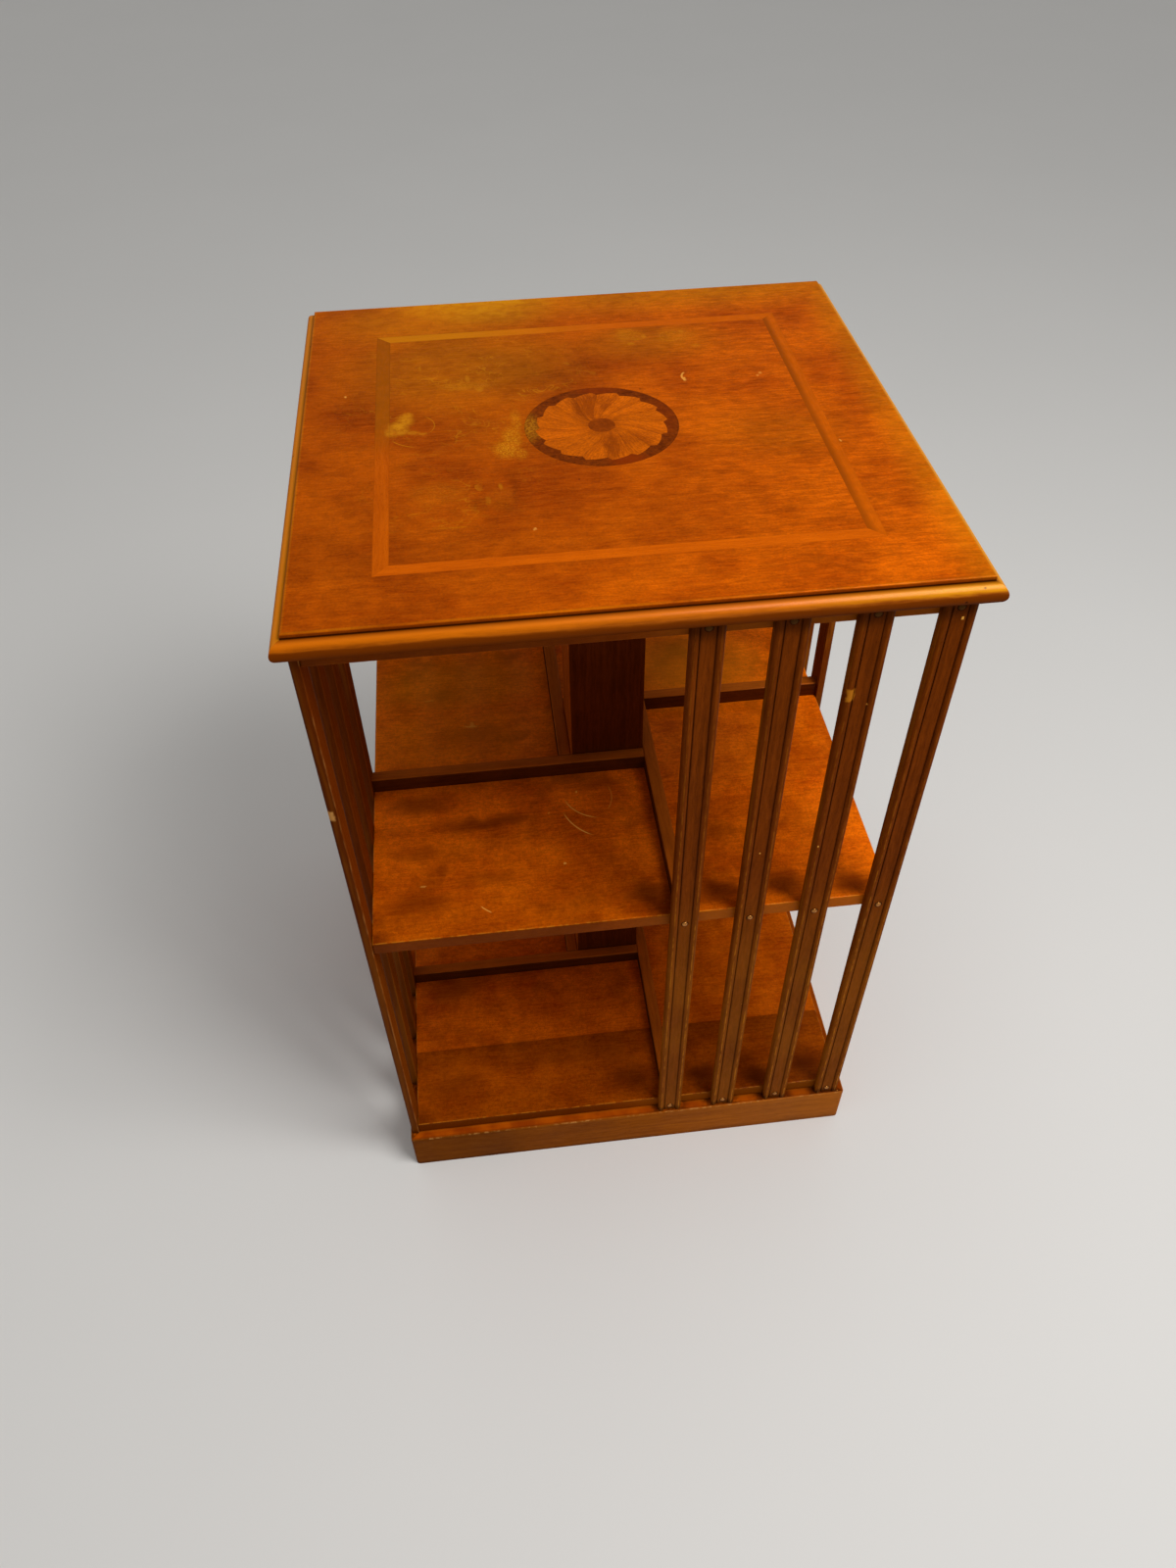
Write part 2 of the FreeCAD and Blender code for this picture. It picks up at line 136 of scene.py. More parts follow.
# Smudges of old polish on the middle shelf; the row near y = -200 is the painted shadows of the front slats
MIDDLE_SMUDGES_AND_SHADOWS = (
    (-184, -132, 24, 9, 0.45), (-186, -190, 28, 11, 0.5), (-120, -99, 38, 7, 0.7), (-184, -71, 26, 11, 0.6),
    (-122, -166, 26, 8, 0.35), (16, -200, 16, 10, 0.7), (79, -204, 18, 10, 0.8), (134, -204, 17, 10, 0.85),
    (196, -211, 17, 9, 0.8), (-20, -60, 30, 9, 0.4), (-122, 22, 30, 12, 0.4))
MIDDLE_CHIPS = (
    (-131, 33, 7, 1.2, 0.7), (-129, 35, 2, 4, 0.5), (-172, 77, 6, 1, 0.5), (-34, -71, 1, 1.4, 0.9),
    (-54, -158, 1.2, 1.2, 1), (-15, 99, 1.5, 1, 0.6), (-63, -95, 1, 1, 0.6), (-182, -169, 3, 1, 0.5))
MIDDLE_YELLOWED = ((-140, 100, 90, 45, 0.35), (-125, 14, 120, 60, 0.24), (100, 96, 70, 55, 0.35))
# Smudges of old polish on the bottom shelf; the row near y = -200 is the painted shadows of the front slats
BOTTOM_SMUDGES_AND_SHADOWS = (
    (-182, -62, 26, 14, 0.6), (-188, -184, 30, 13, 0.5), (-72, -165, 60, 10, 0.3), (2, -196, 20, 12, 0.5),
    (84, -203, 18, 9, 0.75), (143, -212, 17, 8, 0.75), (200, -204, 18, 10, 0.7))
UPPER_SMUDGES = ((0, -120, 60, 20, 0.3),)

# Arcs on the plan: a circle's middle and radius, the middle and reach of the spot where it shows, and the
# strength
RUBBED_RIMS = ((-147, 14, 17, -131, 22, 6, 20, 0.45), (-140, 10, 28, -155, -13, 9, 9, 0.6),
               (78, 140, 9, 78, 140, 10, 12, 0.35))
FIELD_CRESCENT = ((86, 65, 10.5, 76, 66, 4, 8, 0.8),)
MIDDLE_SCRATCHES = ((1.5, -81.7, 52.7, -37, -112, 15, 18, 1), (-10.6, -69.7, 37.1, -32, -93, 17, 16, 0.8),
                    (-33.6, -78.3, 32.4, -4, -83, 5, 15, 0.35), (-100, -170, 42, -128, -202, 5, 6, 0.7))


def screen(red, green, blue):
    """The linear colour of three values from 0 to 255, as a screen shows them."""
    shares = [value / 255 for value in (red, green, blue)]
    return tuple(s / 12.92 if s <= 0.04045 else ((s + 0.055) / 1.055) ** 2.4 for s in shares)


def colour_value(name, description, red, green, blue):
    return FloatVectorProperty(name=name, description=description, subtype="COLOR", size=3, min=0, max=1,
                               default=screen(red, green, blue))


def grain_value(shade, piece, *colour):
    """One of the two colours between which a wood's grain runs."""
    described = shade.capitalize() + " grain of the " + piece.lower()
    return colour_value(piece + ", " + shade + " grain", described, *colour)


def length_value(name, description, metres):
    return FloatProperty(name=name, description=description, subtype="DISTANCE", unit="LENGTH", min=0,
                         default=metres)


def angle_value(name, description, degrees):
    return FloatProperty(name=name, description=description, subtype="ANGLE", unit="ROTATION",
                         default=math.radians(degrees))


class BookcaseLooks(bpy.types.PropertyGroup):
    """Stains, veneers and metals of the bookcase."""

    field_dark: grain_value("dark", "Raised field", 136, 47, 0)
    field_light: grain_value("light", "Raised field", 202, 92, 1)
    # Yellowed lacquer, also used as painted sheen, reflection and highlight on the field, banding and mouldings
    golden_haze_and_sheen: colour_value("Golden haze", "Old lacquer that has yellowed", 200, 130, 8)
    rubbed: colour_value("Rubbed lacquer", "Cloudy marks where the lacquer is rubbed", 216, 140, 20)
    bare_chip: colour_value("Bare chips", "Wood laid bare by small knocks", 250, 176, 72)
    banding_dark: grain_value("dark", "Banding", 178, 74, 1)
    banding_light: grain_value("light", "Banding", 218, 100, 2)
    # A painted shaded tone for the strips whose grain sinks under the light
    banding_shaded: colour_value("Banding, aged", "Tone of the strips that have darkened", 160, 72, 1)
    petal_dark: colour_value("Petals, sand-shaded", "Scorched side of each petal", 146, 62, 1)
    petal_light: colour_value("Petals, pale", "Pale side of each petal", 216, 102, 3)
    ring_dark: grain_value("dark", "Ring and boss", 86, 30, 1)
    ring_light: grain_value("light", "Ring and boss", 126, 52, 2)
    # A painted shaded and a painted lit copy of the bullnose's wood; the brown also paints the shaded side of
    # the field's step and colours the shelves' edges
    nose_brown: colour_value("Moulding, underside", "Lower half of the bullnose", 112, 48, 2)
    nose_golden: colour_value("Moulding, top", "Upper half of the bullnose", 204, 104, 6)
    shelf_dark: grain_value("dark", "Shelves", 154, 56, 1)
    shelf_light: grain_value("light", "Shelves", 220, 104, 4)
    # Old polish, also used as the painted shadows of the slats and painted shade in the shelves' corners
    shelf_smudge_and_shadow: colour_value("Shelves, smudges", "Dark polish left on the shelves", 84, 28, 2)
    # The column's very dark tones are its stain together with painted shade inside the case; its left face is
    # painted lit
    column_dark: grain_value("dark", "Column", 62, 20, 1)
    column_light: grain_value("light", "Column", 98, 38, 3)
    rail_dark: grain_value("dark", "Stop rails", 76, 28, 3)
    rail_light: grain_value("light", "Stop rails", 116, 52, 7)
    slat_dark: grain_value("dark", "Slats", 84, 34, 2)
    slat_light: grain_value("light", "Slats", 128, 57, 5)
    # Rubbed bead crests, also used as painted highlight on the crests, the rail tops and the right edges of the
    # shelves
    slat_worn_and_highlight: colour_value("Slats, worn beads", "Bead crests where the stain is rubbed", 190, 116, 24)
    # Old polish, also used as painted shade in the foot of the field's step, the slat quirks, the moulding's
    # inner corner and under the moulding
    old_polish_and_shade: colour_value("Old polish", "Dark polish gathered in grooves and corners", 30, 8, 1)
    plinth_dark: grain_value("dark", "Plinth", 96, 44, 5)
    plinth_light: grain_value("light", "Plinth", 136, 72, 12)
    # Worn arrises, also used as a painted sheen on the right half of the plinth
    worn_edge_and_sheen: colour_value("Worn edges", "Arrises where the stain is rubbed away", 196, 138, 72)
    board_dark: grain_value("dark", "Bare boards", 158, 112, 62)
    board_light: grain_value("light", "Bare boards", 205, 166, 112)
    brass: colour_value("Nail heads", "Darkened brass of the nail heads", 190, 126, 62)
    tarnish: colour_value("Tarnish", "Tarnish on the nail heads", 40, 18, 6)
    zinc: colour_value("Zinc", "Zinc plating of the swivel and the screws", 186, 188, 186)
    ball_steel: colour_value("Ball steel", "Polished steel of the balls", 214, 216, 220)


class BookcaseStudio(bpy.types.PropertyGroup):
    """The floor, the light and the camera."""

    floor_colour: colour_value("Floor", "Plain pale floor", 226, 224, 220)
    lamp_place: FloatVectorProperty(name="Lamp", description="Middle of the large soft lamp", subtype="XYZ",
                                    unit="LENGTH", default=(0.95, -0.85, 2.45))
    lamp_size: length_value("Lamp size", "Side of the square lamp", 1)
    lamp_power: FloatProperty(name="Lamp power", description="Power of the lamp", unit="POWER", default=40)
    sky_low: FloatProperty(name="Low sky", description="Light from the level of the floor", default=0.72)
    sky_high: FloatProperty(name="High sky", description="Light from half way up", default=0.26)
    sky_overhead: FloatProperty(name="Sky overhead", description="Light from straight above", default=0.9)
    camera_place: FloatVectorProperty(name="Camera", description="Where the camera stands", subtype="XYZ",
                                      unit="LENGTH", default=(-0.10009, -0.81459, 1.19193))
    camera_turn: angle_value("Turn", "How far the camera looks to the right of +Y", 5.942)
    camera_tilt: angle_value("Tilt", "How far the camera looks down", 46.456)
    camera_roll: angle_value("Roll", "How far the camera leans", -1.004)
    lens: FloatProperty(name="Lens", description="Focal length on a 36 mm long side", unit="CAMERA",
                        default=26.125)
    nail_radius: length_value("Nail head radius", "Radius of the domed nail heads", 0.0025)
    nail_height: length_value("Nail head height", "Height of the domed nail heads", 0.0013)


def arithmetic(operation):
    """A method that adds a Math node of that operation."""
    return lambda self, *others: self.math(operation, self, *others)


class Signal:
    """A number that changes over a surface. Arithmetic on it adds Math nodes."""

    def __init__(self, tree, socket):
        self.tree = tree
        self.socket = socket

    def math(self, operation, *values):
        made = self.tree.node("ShaderNodeMath", {"operation": operation}, dict(enumerate(values)))
        return Signal(self.tree, made.outputs[0])

    __add__ = __radd__ = arithmetic("ADD")
    __sub__ = arithmetic("SUBTRACT")
    __mul__ = __rmul__ = arithmetic("MULTIPLY")
    __truediv__ = arithmetic("DIVIDE")
    __abs__ = arithmetic("ABSOLUTE")
    fraction = arithmetic("FRACT")
    floor = arithmetic("FLOOR")
    larger = arithmetic("MAXIMUM")
    smaller = arithmetic("MINIMUM")

    def __rsub__(self, other):
        return self.math("SUBTRACT", other, self)

    def rise(self, start, end):
        """0 up to start, 1 from end on, and a smooth step between them. start may lie past end."""
        low, high = min(start, end), max(start, end)
        first, last = (0, 1) if start < end else (1, 0)
        span = {"Value": self, "From Min": low, "From Max": high, "To Min": first, "To Max": last}
        made = self.tree.node("ShaderNodeMapRange", {"interpolation_type": "SMOOTHSTEP"}, span)
        return Signal(self.tree, made.outputs[0])

    def near(self, middle, reach, soft):
        """1 within reach of middle, falling to 0 over the soft margin outside it."""
        return abs(self - middle).rise(reach + soft, reach)


class Tree:
    """The nodes of a material or of the sky."""

    def __init__(self, owner):
        self.owner = owner
        owner.use_nodes = True
        owner.node_tree.nodes.clear()

    def node(self, kind, settings=None, sockets=None):
        """Any node: its type, its settings, then the values or links of its sockets."""
        tree = self.owner.node_tree
        made = tree.nodes.new(kind)
        made.location = (200 * (len(tree.nodes) % 14), -220 * (len(tree.nodes) // 14))
        for name, value in (settings or {}).items():
            setattr(made, name, value)
        for key, value in (sockets or {}).items():
            source = value.socket if isinstance(value, Signal) else value
            if isinstance(source, bpy.types.NodeSocket):
                tree.links.new(source, made.inputs[key])
            elif made.inputs[key].type == "RGBA":
                made.inputs[key].default_value = (*source, 1)
            else:
                made.inputs[key].default_value = source
        return made

    def vector(self, operation, first, second=None, **more):
        sockets = {0: first, **more} if second is None else {0: first, 1: second, **more}
        return self.node("ShaderNodeVectorMath", {"operation": operation}, sockets).outputs["Vector"]

    def length(self, vector):
        made = self.node("ShaderNodeVectorMath", {"operation": "LENGTH"}, {0: vector})
        return Signal(self, made.outputs["Value"])

    def parts(self, vector):
        split = self.node("ShaderNodeSeparateXYZ", None, {0: vector})
        return [Signal(self, output) for output in split.outputs]

    def joined(self, first, second):
        """A vector of two numbers, for noise that follows a curved form."""
        return self.node("ShaderNodeCombineXYZ", None, {0: first, 1: second}).outputs[0]


class Finish(Tree):
    """A material being made. Places are in millimetres, in the model's own frame."""

    def __init__(self, name):
        super().__init__(bpy.data.materials.new(name))
        texture_place = self.node("ShaderNodeTexCoord")
        self.place = self.vector("SCALE", texture_place.outputs["Object"], Scale=MM)
        self.share = texture_place.outputs["Generated"]
        self.x, self.y, self.z = self.parts(self.place)
        self.outward = abs(self.x).larger(abs(self.y))

    def noise(self, size, detail=2, rough=0.5, warp=0, place=None):
        """Cloudy noise around 0.5, whose patches are about size across."""
        made = self.node("ShaderNodeTexNoise", None, {
            "Vector": self.place if place is None else place, "Scale": 1 / size, "Detail": detail,
            "Roughness": rough, "Distortion": warp})
        return Signal(self, made.outputs[0])

    def wobbled(self, place, size, reach):
        """A place pushed about by noise, so that outlines drawn in it come out uneven."""
        made = self.node("ShaderNodeTexNoise", None, {"Vector": place, "Scale": 1 / size, "Detail": 3})
        push = self.vector("SUBTRACT", made.outputs[1], (0.5, 0.5, 0.5))
        return self.vector("ADD", place, self.vector("SCALE", push, Scale=2 * reach))

    def specks(self, size, radius, share):
        """Small round specks: one may lie in each cell of about size, and that share of the cells has one."""
        cells = self.node("ShaderNodeTexVoronoi", None, {"Vector": self.place, "Scale": 1 / size})
        chance = self.parts(cells.outputs["Color"])[0]
        return Signal(self, cells.outputs["Distance"]).rise(1.3 * radius / size, 0.7 * radius / size) \
            * chance.rise(share + 0.001, share)

    def hairlines(self, size, width):
        """Fine wandering lines, about size apart."""
        return self.noise(size, 1, 0.4, 0.8).near(0.5, width / size, width / size)

    def spot(self, place, middle, reach, soft=0.4):
        """1 inside an ellipse on the plan, with a soft edge that is a share of its size."""
        offset = self.vector("SUBTRACT", place, (*middle, 0))
        scaled = self.vector("MULTIPLY", offset, (1 / reach[0], 1 / reach[1], 0))
        return self.length(scaled).rise(1 + soft, 1 - soft)

    def spots(self, place, table, soft=0.4):
        """The strongest of the spots in a table."""
        return reduce(Signal.larger, [self.spot(place, row[:2], row[2:4], soft) * row[4] for row in table])

    def mixed(self, first, second, amount):
        """A colour between two."""
        return self.node("ShaderNodeMix", {"data_type": "RGBA"}, {0: amount, 6: first, 7: second}).outputs[2]

    def shader(self, values, height=None, relief=0):
        """Ends the material: the surface's values, and a height that stands relief metres proud."""
        surface = dict(values)
        if height is not None:
            surface["Normal"] = self.node("ShaderNodeBump", None,
                                          {"Height": height, "Distance": relief, "Strength": 1}).outputs[0]
        skin = self.node("ShaderNodeBsdfPrincipled", None, surface)
        self.node("ShaderNodeOutputMaterial", None, {0: skin.outputs[0]})
        return self.owner


class Wood(Finish):
    """Stained and lacquered wood: grain first, then the stains, marks, wear and painted light and shade that go
    over it.
    """

    STRETCH = {"x": (0.03, 1, 1), "y": (1, 0.03, 1), "z": (1, 1, 0.03)}
    FLAKE = {"x": (0.16, 1, 1), "y": (1, 0.16, 1), "z": (1, 1, 0.16)}

    def __init__(self, name, dark, light, along, fibre=0.9, streak=5, cloud=45,
                 shares=(0.15, 0.35, 0.25, 0.25)):
        super().__init__(name)
        bent = self.wobbled(self.place, 70, 4)
        self.grain = self.vector("MULTIPLY", bent, self.STRETCH[along])
        self.flaky = self.vector("MULTIPLY", bent, self.FLAKE[along])
        self.fibres = self.noise(fibre, 3, 0.6, place=self.grain).rise(0.28, 0.72)
        self.streaks = self.noise(streak, 4, 0.6, 0.5, place=self.grain).rise(0.32, 0.68)
        self.clouds = self.noise(cloud, 3).rise(0.28, 0.72)
        self.flakes = self.noise(1.9, 3, 0.65, place=self.flaky).rise(0.32, 0.68)
        self.pores = self.noise(0.42, 1, place=self.flaky).rise(0.6, 0.72)
        of_fibres, of_streaks, of_clouds, of_flakes = shares
        self.colour = self.mixed(dark, light, of_fibres * self.fibres + of_streaks * self.streaks
                                 + of_clouds * self.clouds + of_flakes * self.flakes)
        self.darken(self.pores * 0.25)
        self.roughness = 0.34 + 0.1 * self.clouds + 0.05 * self.flakes
        self.gleam = 0.06 + 0.1 * self.flakes
        self.height = self.flakes * 0.5 - self.pores
        self.lacquer = 0.8 + 0.2 * self.clouds

    def stain(self, mask, colour):
        self.colour = self.mixed(self.colour, colour, mask)

    def tone(self, factor):
        """Makes the colour so many times as bright, by a number or a signal."""
        self.colour = self.vector("SCALE", self.colour, Scale=factor)

    def darken(self, mask):
        self.tone(1 - mask)

    def dull(self, mask, amount=0.3):
        """Wears the lacquer where the mask is 1."""
        self.roughness = self.roughness + mask * amount
        self.lacquer = self.lacquer * (1 - mask * 0.7)

    def done(self, relief=0.00004, lacquer=0.16, smooth=0.16):
        """Ends the wood under a coat of lacquer of that weight and roughness."""
        return self.shader({"Base Color": self.colour, "Roughness": self.roughness, "Metallic": self.gleam,
                            "Specular IOR Level": 0, "Coat Weight": self.lacquer * lacquer,
                            "Coat Roughness": smooth}, self.height, relief)


def dress(material, *names):
    """Gives a material to all slots of the named nodes."""
    for name in names:
        for slot in NODES[name].material_slots:
            slot.material = material


def thin_arcs(wood, table, width=0.15):
    """Thin arcs on the plan, as scratches or the rims of round marks leave them."""
    arcs = []
    for row in table:
        offset = wood.vector("MULTIPLY", wood.vector("SUBTRACT", wood.place, (*row[:2], 0)), (1, 1, 0))
        seen = wood.spot(wood.place, row[3:5], row[5:7], 0.3)
        arcs.append(wood.length(offset).near(row[2], width, 0.45) * seen * row[7])
    return reduce(Signal.larger, arcs)


def rubbed_marks(wood):
    """Cloudy marks and the rims of round ones, rubbed into the lacquer of the field and its banding."""
    uneven = wood.wobbled(wood.place, 6, 1.6)
    mist = wood.noise(3, 4, 0.65).rise(0.3, 0.6)
    solid = wood.spots(uneven, RUBBED_PATCHES, 0.6)
    marks = (solid * (0.45 + 0.55 * mist)).larger(thin_arcs(wood, RUBBED_RIMS))
    grit = wood.noise(1.3, 2).rise(0.48, 0.58)
    dotted = wood.spots(uneven, GRITTY_PATCHES, 0.5)
    return marks.larger(dotted * (0.25 + 0.75 * grit))


def field_veneer(looks):
    """Mottled veneer of the raised field, with the marks of use on it, and painted light and shade: brighter to
    the right, a golden reflection at the back and shade on its step.
    """
    wood = Wood("field_veneer", looks.field_dark, looks.field_light, "x", streak=4, cloud=60,
                shares=(0.1, 0.14, 0.5, 0.26))
    broad = wood.vector("MULTIPLY", wood.place, (0.7, 1, 1))
    mottle = wood.noise(8, 5, 0.65, 0.6, broad).rise(0.3, 0.7)
    fine = wood.noise(1.8, 2).rise(0.3, 0.7)
    wood.tone(0.79 + 0.25 * mottle + 0.18 * fine)
    drawn_out = wood.vector("MULTIPLY", wood.place, (0.24, 1, 1))
    ribbons = wood.noise(3.4, 4, 0.6, 0.5, place=drawn_out).rise(0.36, 0.64)
    wood.tone(1 + wood.x.rise(-60, 130) * (0.28 * ribbons - 0.11))
    # Painted light: brighter towards the right, at the front and back strips and along the right edge, darker
    # in the far corner
    front_back = 0.1 * wood.y.rise(-176, -188) + 0.1 * wood.y.rise(166, 180)
    right = 0.14 * wood.x.rise(196, 236) * wood.y.rise(160, 0)
    far_corner = 0.14 * wood.x.rise(40, 120) * wood.y.rise(196, 222)
    wood.tone(0.88 + 0.2 * wood.x.rise(-250, 250) + front_back + right - far_corner)
    wood.darken(wood.spots(wood.place, FIELD_SHADES, 0.7))

    # Yellowed lacquer and painted reflection: golden spots, a golden right edge and brighter painted spots
    golden = wood.spots(wood.place, FIELD_GOLDEN, 0.7)
    wood.stain(golden.larger(0.36 * wood.x.rise(200, 234)) * (0.5 + 0.45 * mottle), looks.golden_haze_and_sheen)
    wood.tone(1 + wood.spots(wood.place, FIELD_BRIGHT, 0.6))
    haze = wood.spots(wood.place, FIELD_HAZE, 0.5)
    cobweb = wood.hairlines(17, 0.16).larger(wood.hairlines(9, 0.1) * 0.7)
    patchy = wood.noise(24, 3).rise(0.45, 0.65)
    rubbed = (cobweb * haze * patchy * 0.34).larger(rubbed_marks(wood))
    wood.stain(rubbed * 0.85, looks.rubbed)
    wood.dull(rubbed, 0.2)

    ragged = wood.wobbled(wood.place, 2.6, 2)
    chips = wood.spots(ragged, FIELD_CHIPS, 0.5)
    chips = chips.larger(thin_arcs(wood, FIELD_CRESCENT, 0.6)).larger(wood.specks(46, 0.45, 0.1) * 0.7)
    wood.stain(chips * 0.7, looks.bare_chip)
    wood.dull(chips, 0.3)
    dents = wood.specks(34, 0.9, 0.25)
    wood.darken(dents * 0.5)
    smudge = wood.spots(wood.wobbled(wood.place, 14, 7), FIELD_SMUDGES, 0.7)
    wood.darken(smudge * 0.2)
    ruled = wood.y.near(-130, 0.3, 0.8) * wood.x.near(-118, 40, 12) * patchy
    wood.stain(ruled * 0.35, looks.golden_haze_and_sheen)

    side = wood.z.rise(TOP_SURFACE - 0.5, TOP_SURFACE - 1.3)
    # Painted highlight along the field's rounded arris
    arris = wood.outward.near(HALF_FIELD - 1, 0.5, 0.8) * (1 - side)
    wood.stain(arris * (0.1 + 0.18 * wood.clouds), looks.golden_haze_and_sheen)
    # Painted shade: the side of the step is stained brown and its foot dark
    wood.stain(side * 0.65, looks.nose_brown)
    wood.stain(wood.z.rise(TOP_SURFACE - 2.3, TOP_SURFACE - 3.2) * 0.85, looks.old_polish_and_shade)
    wood.height = wood.height - 3 * dents - 0.8 * chips
    return wood.done(lacquer=0.05)


def nose_wood(looks, along):
    """Moulding round the top: painted lit golden above and painted shaded brown below, knocked, with polish and
    painted shade in its inner corner.
    """
    wood = Wood("moulding_wood_" + along, looks.nose_brown, looks.nose_golden, along, streak=4)
    # Painted light and shade: the upper half is painted golden as the lit side, the lower half brown as the
    # shaded side
    wander = wood.z + 1.2 * wood.streaks + 0.6 * wood.flakes
    upper = wander.rise(NOSE_TOP - 6, NOSE_TOP - 3)
    wood.stain(upper * 0.85, looks.nose_golden)
    wood.stain(wander.rise(NOSE_TOP - 0.8, NOSE_TOP - 6) * 0.95, looks.nose_brown)
    # Painted shade on the underside, stronger towards the right
    wood.darken(wood.z.rise(NOSE_FLOOR + 7, NOSE_FLOOR + 1.5) * (0.3 + 0.3 * wood.x.rise(60, 200)))
    # Painted highlight along the top of the nose towards the right
    lit = wander.rise(NOSE_TOP - 4.5, NOSE_TOP - 2) * wood.x.rise(60, 230)
    wood.stain(lit * 0.9, looks.golden_haze_and_sheen)
    wood.tone(1 + 0.14 * lit)
    # Painted shade in the inner corner by the field, with old polish at the joint
    facing_up = wood.z.rise(NOSE_TOP - 1.5, NOSE_TOP - 0.6)
    wood.stain(wood.outward.rise(HALF_FIELD + 4.6, HALF_FIELD) * facing_up * 0.85, looks.nose_brown)
    wood.stain(wood.outward.rise(HALF_FIELD + 0.9, HALF_FIELD + 0.3) * facing_up * 0.6, looks.old_polish_and_shade)
    if along == "y":
        left = wood.x.rise(0, -1) * upper
        wood.stain(left * 0.35, looks.golden_haze_and_sheen)
        wood.tone(1 + 0.3 * left)
    dents = wood.specks(15, 1.1, 0.4)
    wood.darken(dents * 0.6)
    wood.stain(wood.specks(31, 0.6, 0.15) * 0.6, looks.bare_chip)
    wood.height = wood.height - 4 * dents
    wood.lacquer = wood.lacquer * (0.1 + 0.9 * upper) * (0.3 + 0.7 * wood.x.rise(-160, 100))
    return wood.done(lacquer=0.2, smooth=0.25)


def banding_veneer(looks, side):
    """A strip of banding. Its grain gleams or sinks with how it was laid, so each side has its own tone,
    painted in as sheen and shade, with a painted reflection at the back-left.
    """
    wood = Wood("banding_veneer_" + side, looks.banding_dark, looks.banding_light,
                "x" if side in LONG_SIDES["x"] else "y", fibre=0.7, streak=3, shares=(0.2, 0.3, 0.2, 0.3))
    mottle = wood.noise(7, 4, 0.65).rise(0.3, 0.7)
    if side == "right":
        # Painted shade: the right strip is darkened along its inner side
        inner = wood.x.rise(BANDING_OUTSIDE - 4, BANDING_INSIDE + 1)
        wood.stain(0.7 - 0.3 * mottle, looks.field_light)
        wood.tone(0.8 + 0.16 * mottle)
        wood.stain(inner * 0.9, looks.banding_shaded)
        wood.darken(inner * (0.22 - 0.12 * wood.clouds))
    if side == "left":
        # Painted shade: the left strip darkens towards the back
        aged = wood.y.rise(-40, 30)
        wood.stain(aged * (1 - 0.4 * mottle), looks.banding_shaded)
        wood.stain(aged * 0.16, looks.golden_haze_and_sheen)
        wood.tone(0.86 - 0.04 * aged)
        wood.stain(rubbed_marks(wood) * 0.85, looks.rubbed)
    if side == "back":
        # Painted sheen: the back strip is lighter at the right and golden at the left, a painted reflection
        wood.stain(wood.x.rise(0, 130) * 0.75, looks.field_light)
        wood.darken(wood.x.rise(0, 130) * (0.12 - 0.12 * mottle))
        wood.stain(wood.x.rise(60, -130) * 0.6, looks.golden_haze_and_sheen)
    outward = abs(wood.x - INLAY_CENTRE.x).larger(abs(wood.y - INLAY_CENTRE.y))
    edges = outward.near(BANDING_INSIDE, 0.2, 0.5).larger(outward.near(BANDING_OUTSIDE, 0.2, 0.5))
    wood.darken(edges * (0.1 if side == "right" else 0.2))
    return wood.done(lacquer=0.05)


def patera_place(finish):
    """Distance from the patera's centre, and the turn round it in degrees."""
    x, y, z = finish.parts(finish.vector("SUBTRACT", finish.place, INLAY_CENTRE))
    return finish.length(finish.joined(x, y)), y.math("ARCTAN2", y, x) * math.degrees(1)


def petal_veneer(looks):
    """Sand-shaded petals: each with its own tone, scorched round the boss, grain running outwards."""
    wood = Wood("petal_veneer", looks.petal_light, looks.petal_light, "x", cloud=12)
    radius, turn = patera_place(wood)
    out = (radius - BOSS_RADIUS) / (CUSP_RADIUS - BOSS_RADIUS)
    around = (turn + PETAL_SWEEP * out * (1 + PETAL_BEND - PETAL_BEND * out)) / PETAL_TURN
    phase = around.fraction()
    number = wood.noise(0.37, 0, place=wood.joined(around.floor(), 0.5)).rise(0.35, 0.65)
    sectors = wood.spots(wood.wobbled(wood.place, 9, 4), DARK_SECTORS, 0.6)
    scorch = phase.rise(0.7, 0) * (0.16 + 0.28 * number) + 0.85 * sectors
    scorch = scorch.larger(radius.rise(BOSS_RADIUS + 12, BOSS_RADIUS) * 0.5)
    rays = wood.noise(1, 5, 0.7, place=wood.joined(around * 14, radius * 0.12)).rise(0.32, 0.68)
    wood.stain(0.8 * scorch + 0.62 * (1 - rays), looks.petal_dark)
    wood.tone(0.88 + 0.24 * wood.noise(1.6, 2).rise(0.3, 0.7))
    wood.tone(0.92 + 0.16 * number)
    joint = abs(phase - 0.5).rise(0.44, 0.5) * radius.rise(CUSP_RADIUS + 1, CUSP_RADIUS - 1)
    wood.darken(joint * 0.14)
    return wood.done(lacquer=0.05)


def ring_veneer(looks):
    """Ring and boss: dark veneer whose lengths differ in tone, rubbed pale at the left of the ring."""
    wood = Wood("ring_veneer", looks.ring_dark, looks.ring_light, "x", fibre=0.7, streak=3, cloud=7,
                shares=(0.1, 0.2, 0.45, 0.25))
    radius, turn = patera_place(wood)
    wood.tone(0.84 + 0.5 * wood.noise(2.2, 3, 0.6).rise(0.34, 0.66))
    uneven = wood.wobbled(wood.place, 8, 4)
    wood.stain(wood.spots(uneven, REDDER_RING, 0.6), looks.field_dark)
    grit = wood.noise(1.8, 2).rise(0.42, 0.6)
    wood.stain(wood.spot(uneven, (-56, 0), (7, 18), 0.6) * (0.3 + 0.7 * grit) * 0.5, looks.rubbed)
    wood.stain(radius.rise(BOSS_RADIUS + 2, BOSS_RADIUS) * 0.3, looks.petal_dark)
    wood.tone(1 + 0.2 * radius.rise(BOSS_RADIUS + 2, BOSS_RADIUS))
    wood.darken(radius.near(RING_RADIUS, 0.2, 0.5) * 0.25)
    return wood.done(lacquer=0.05)


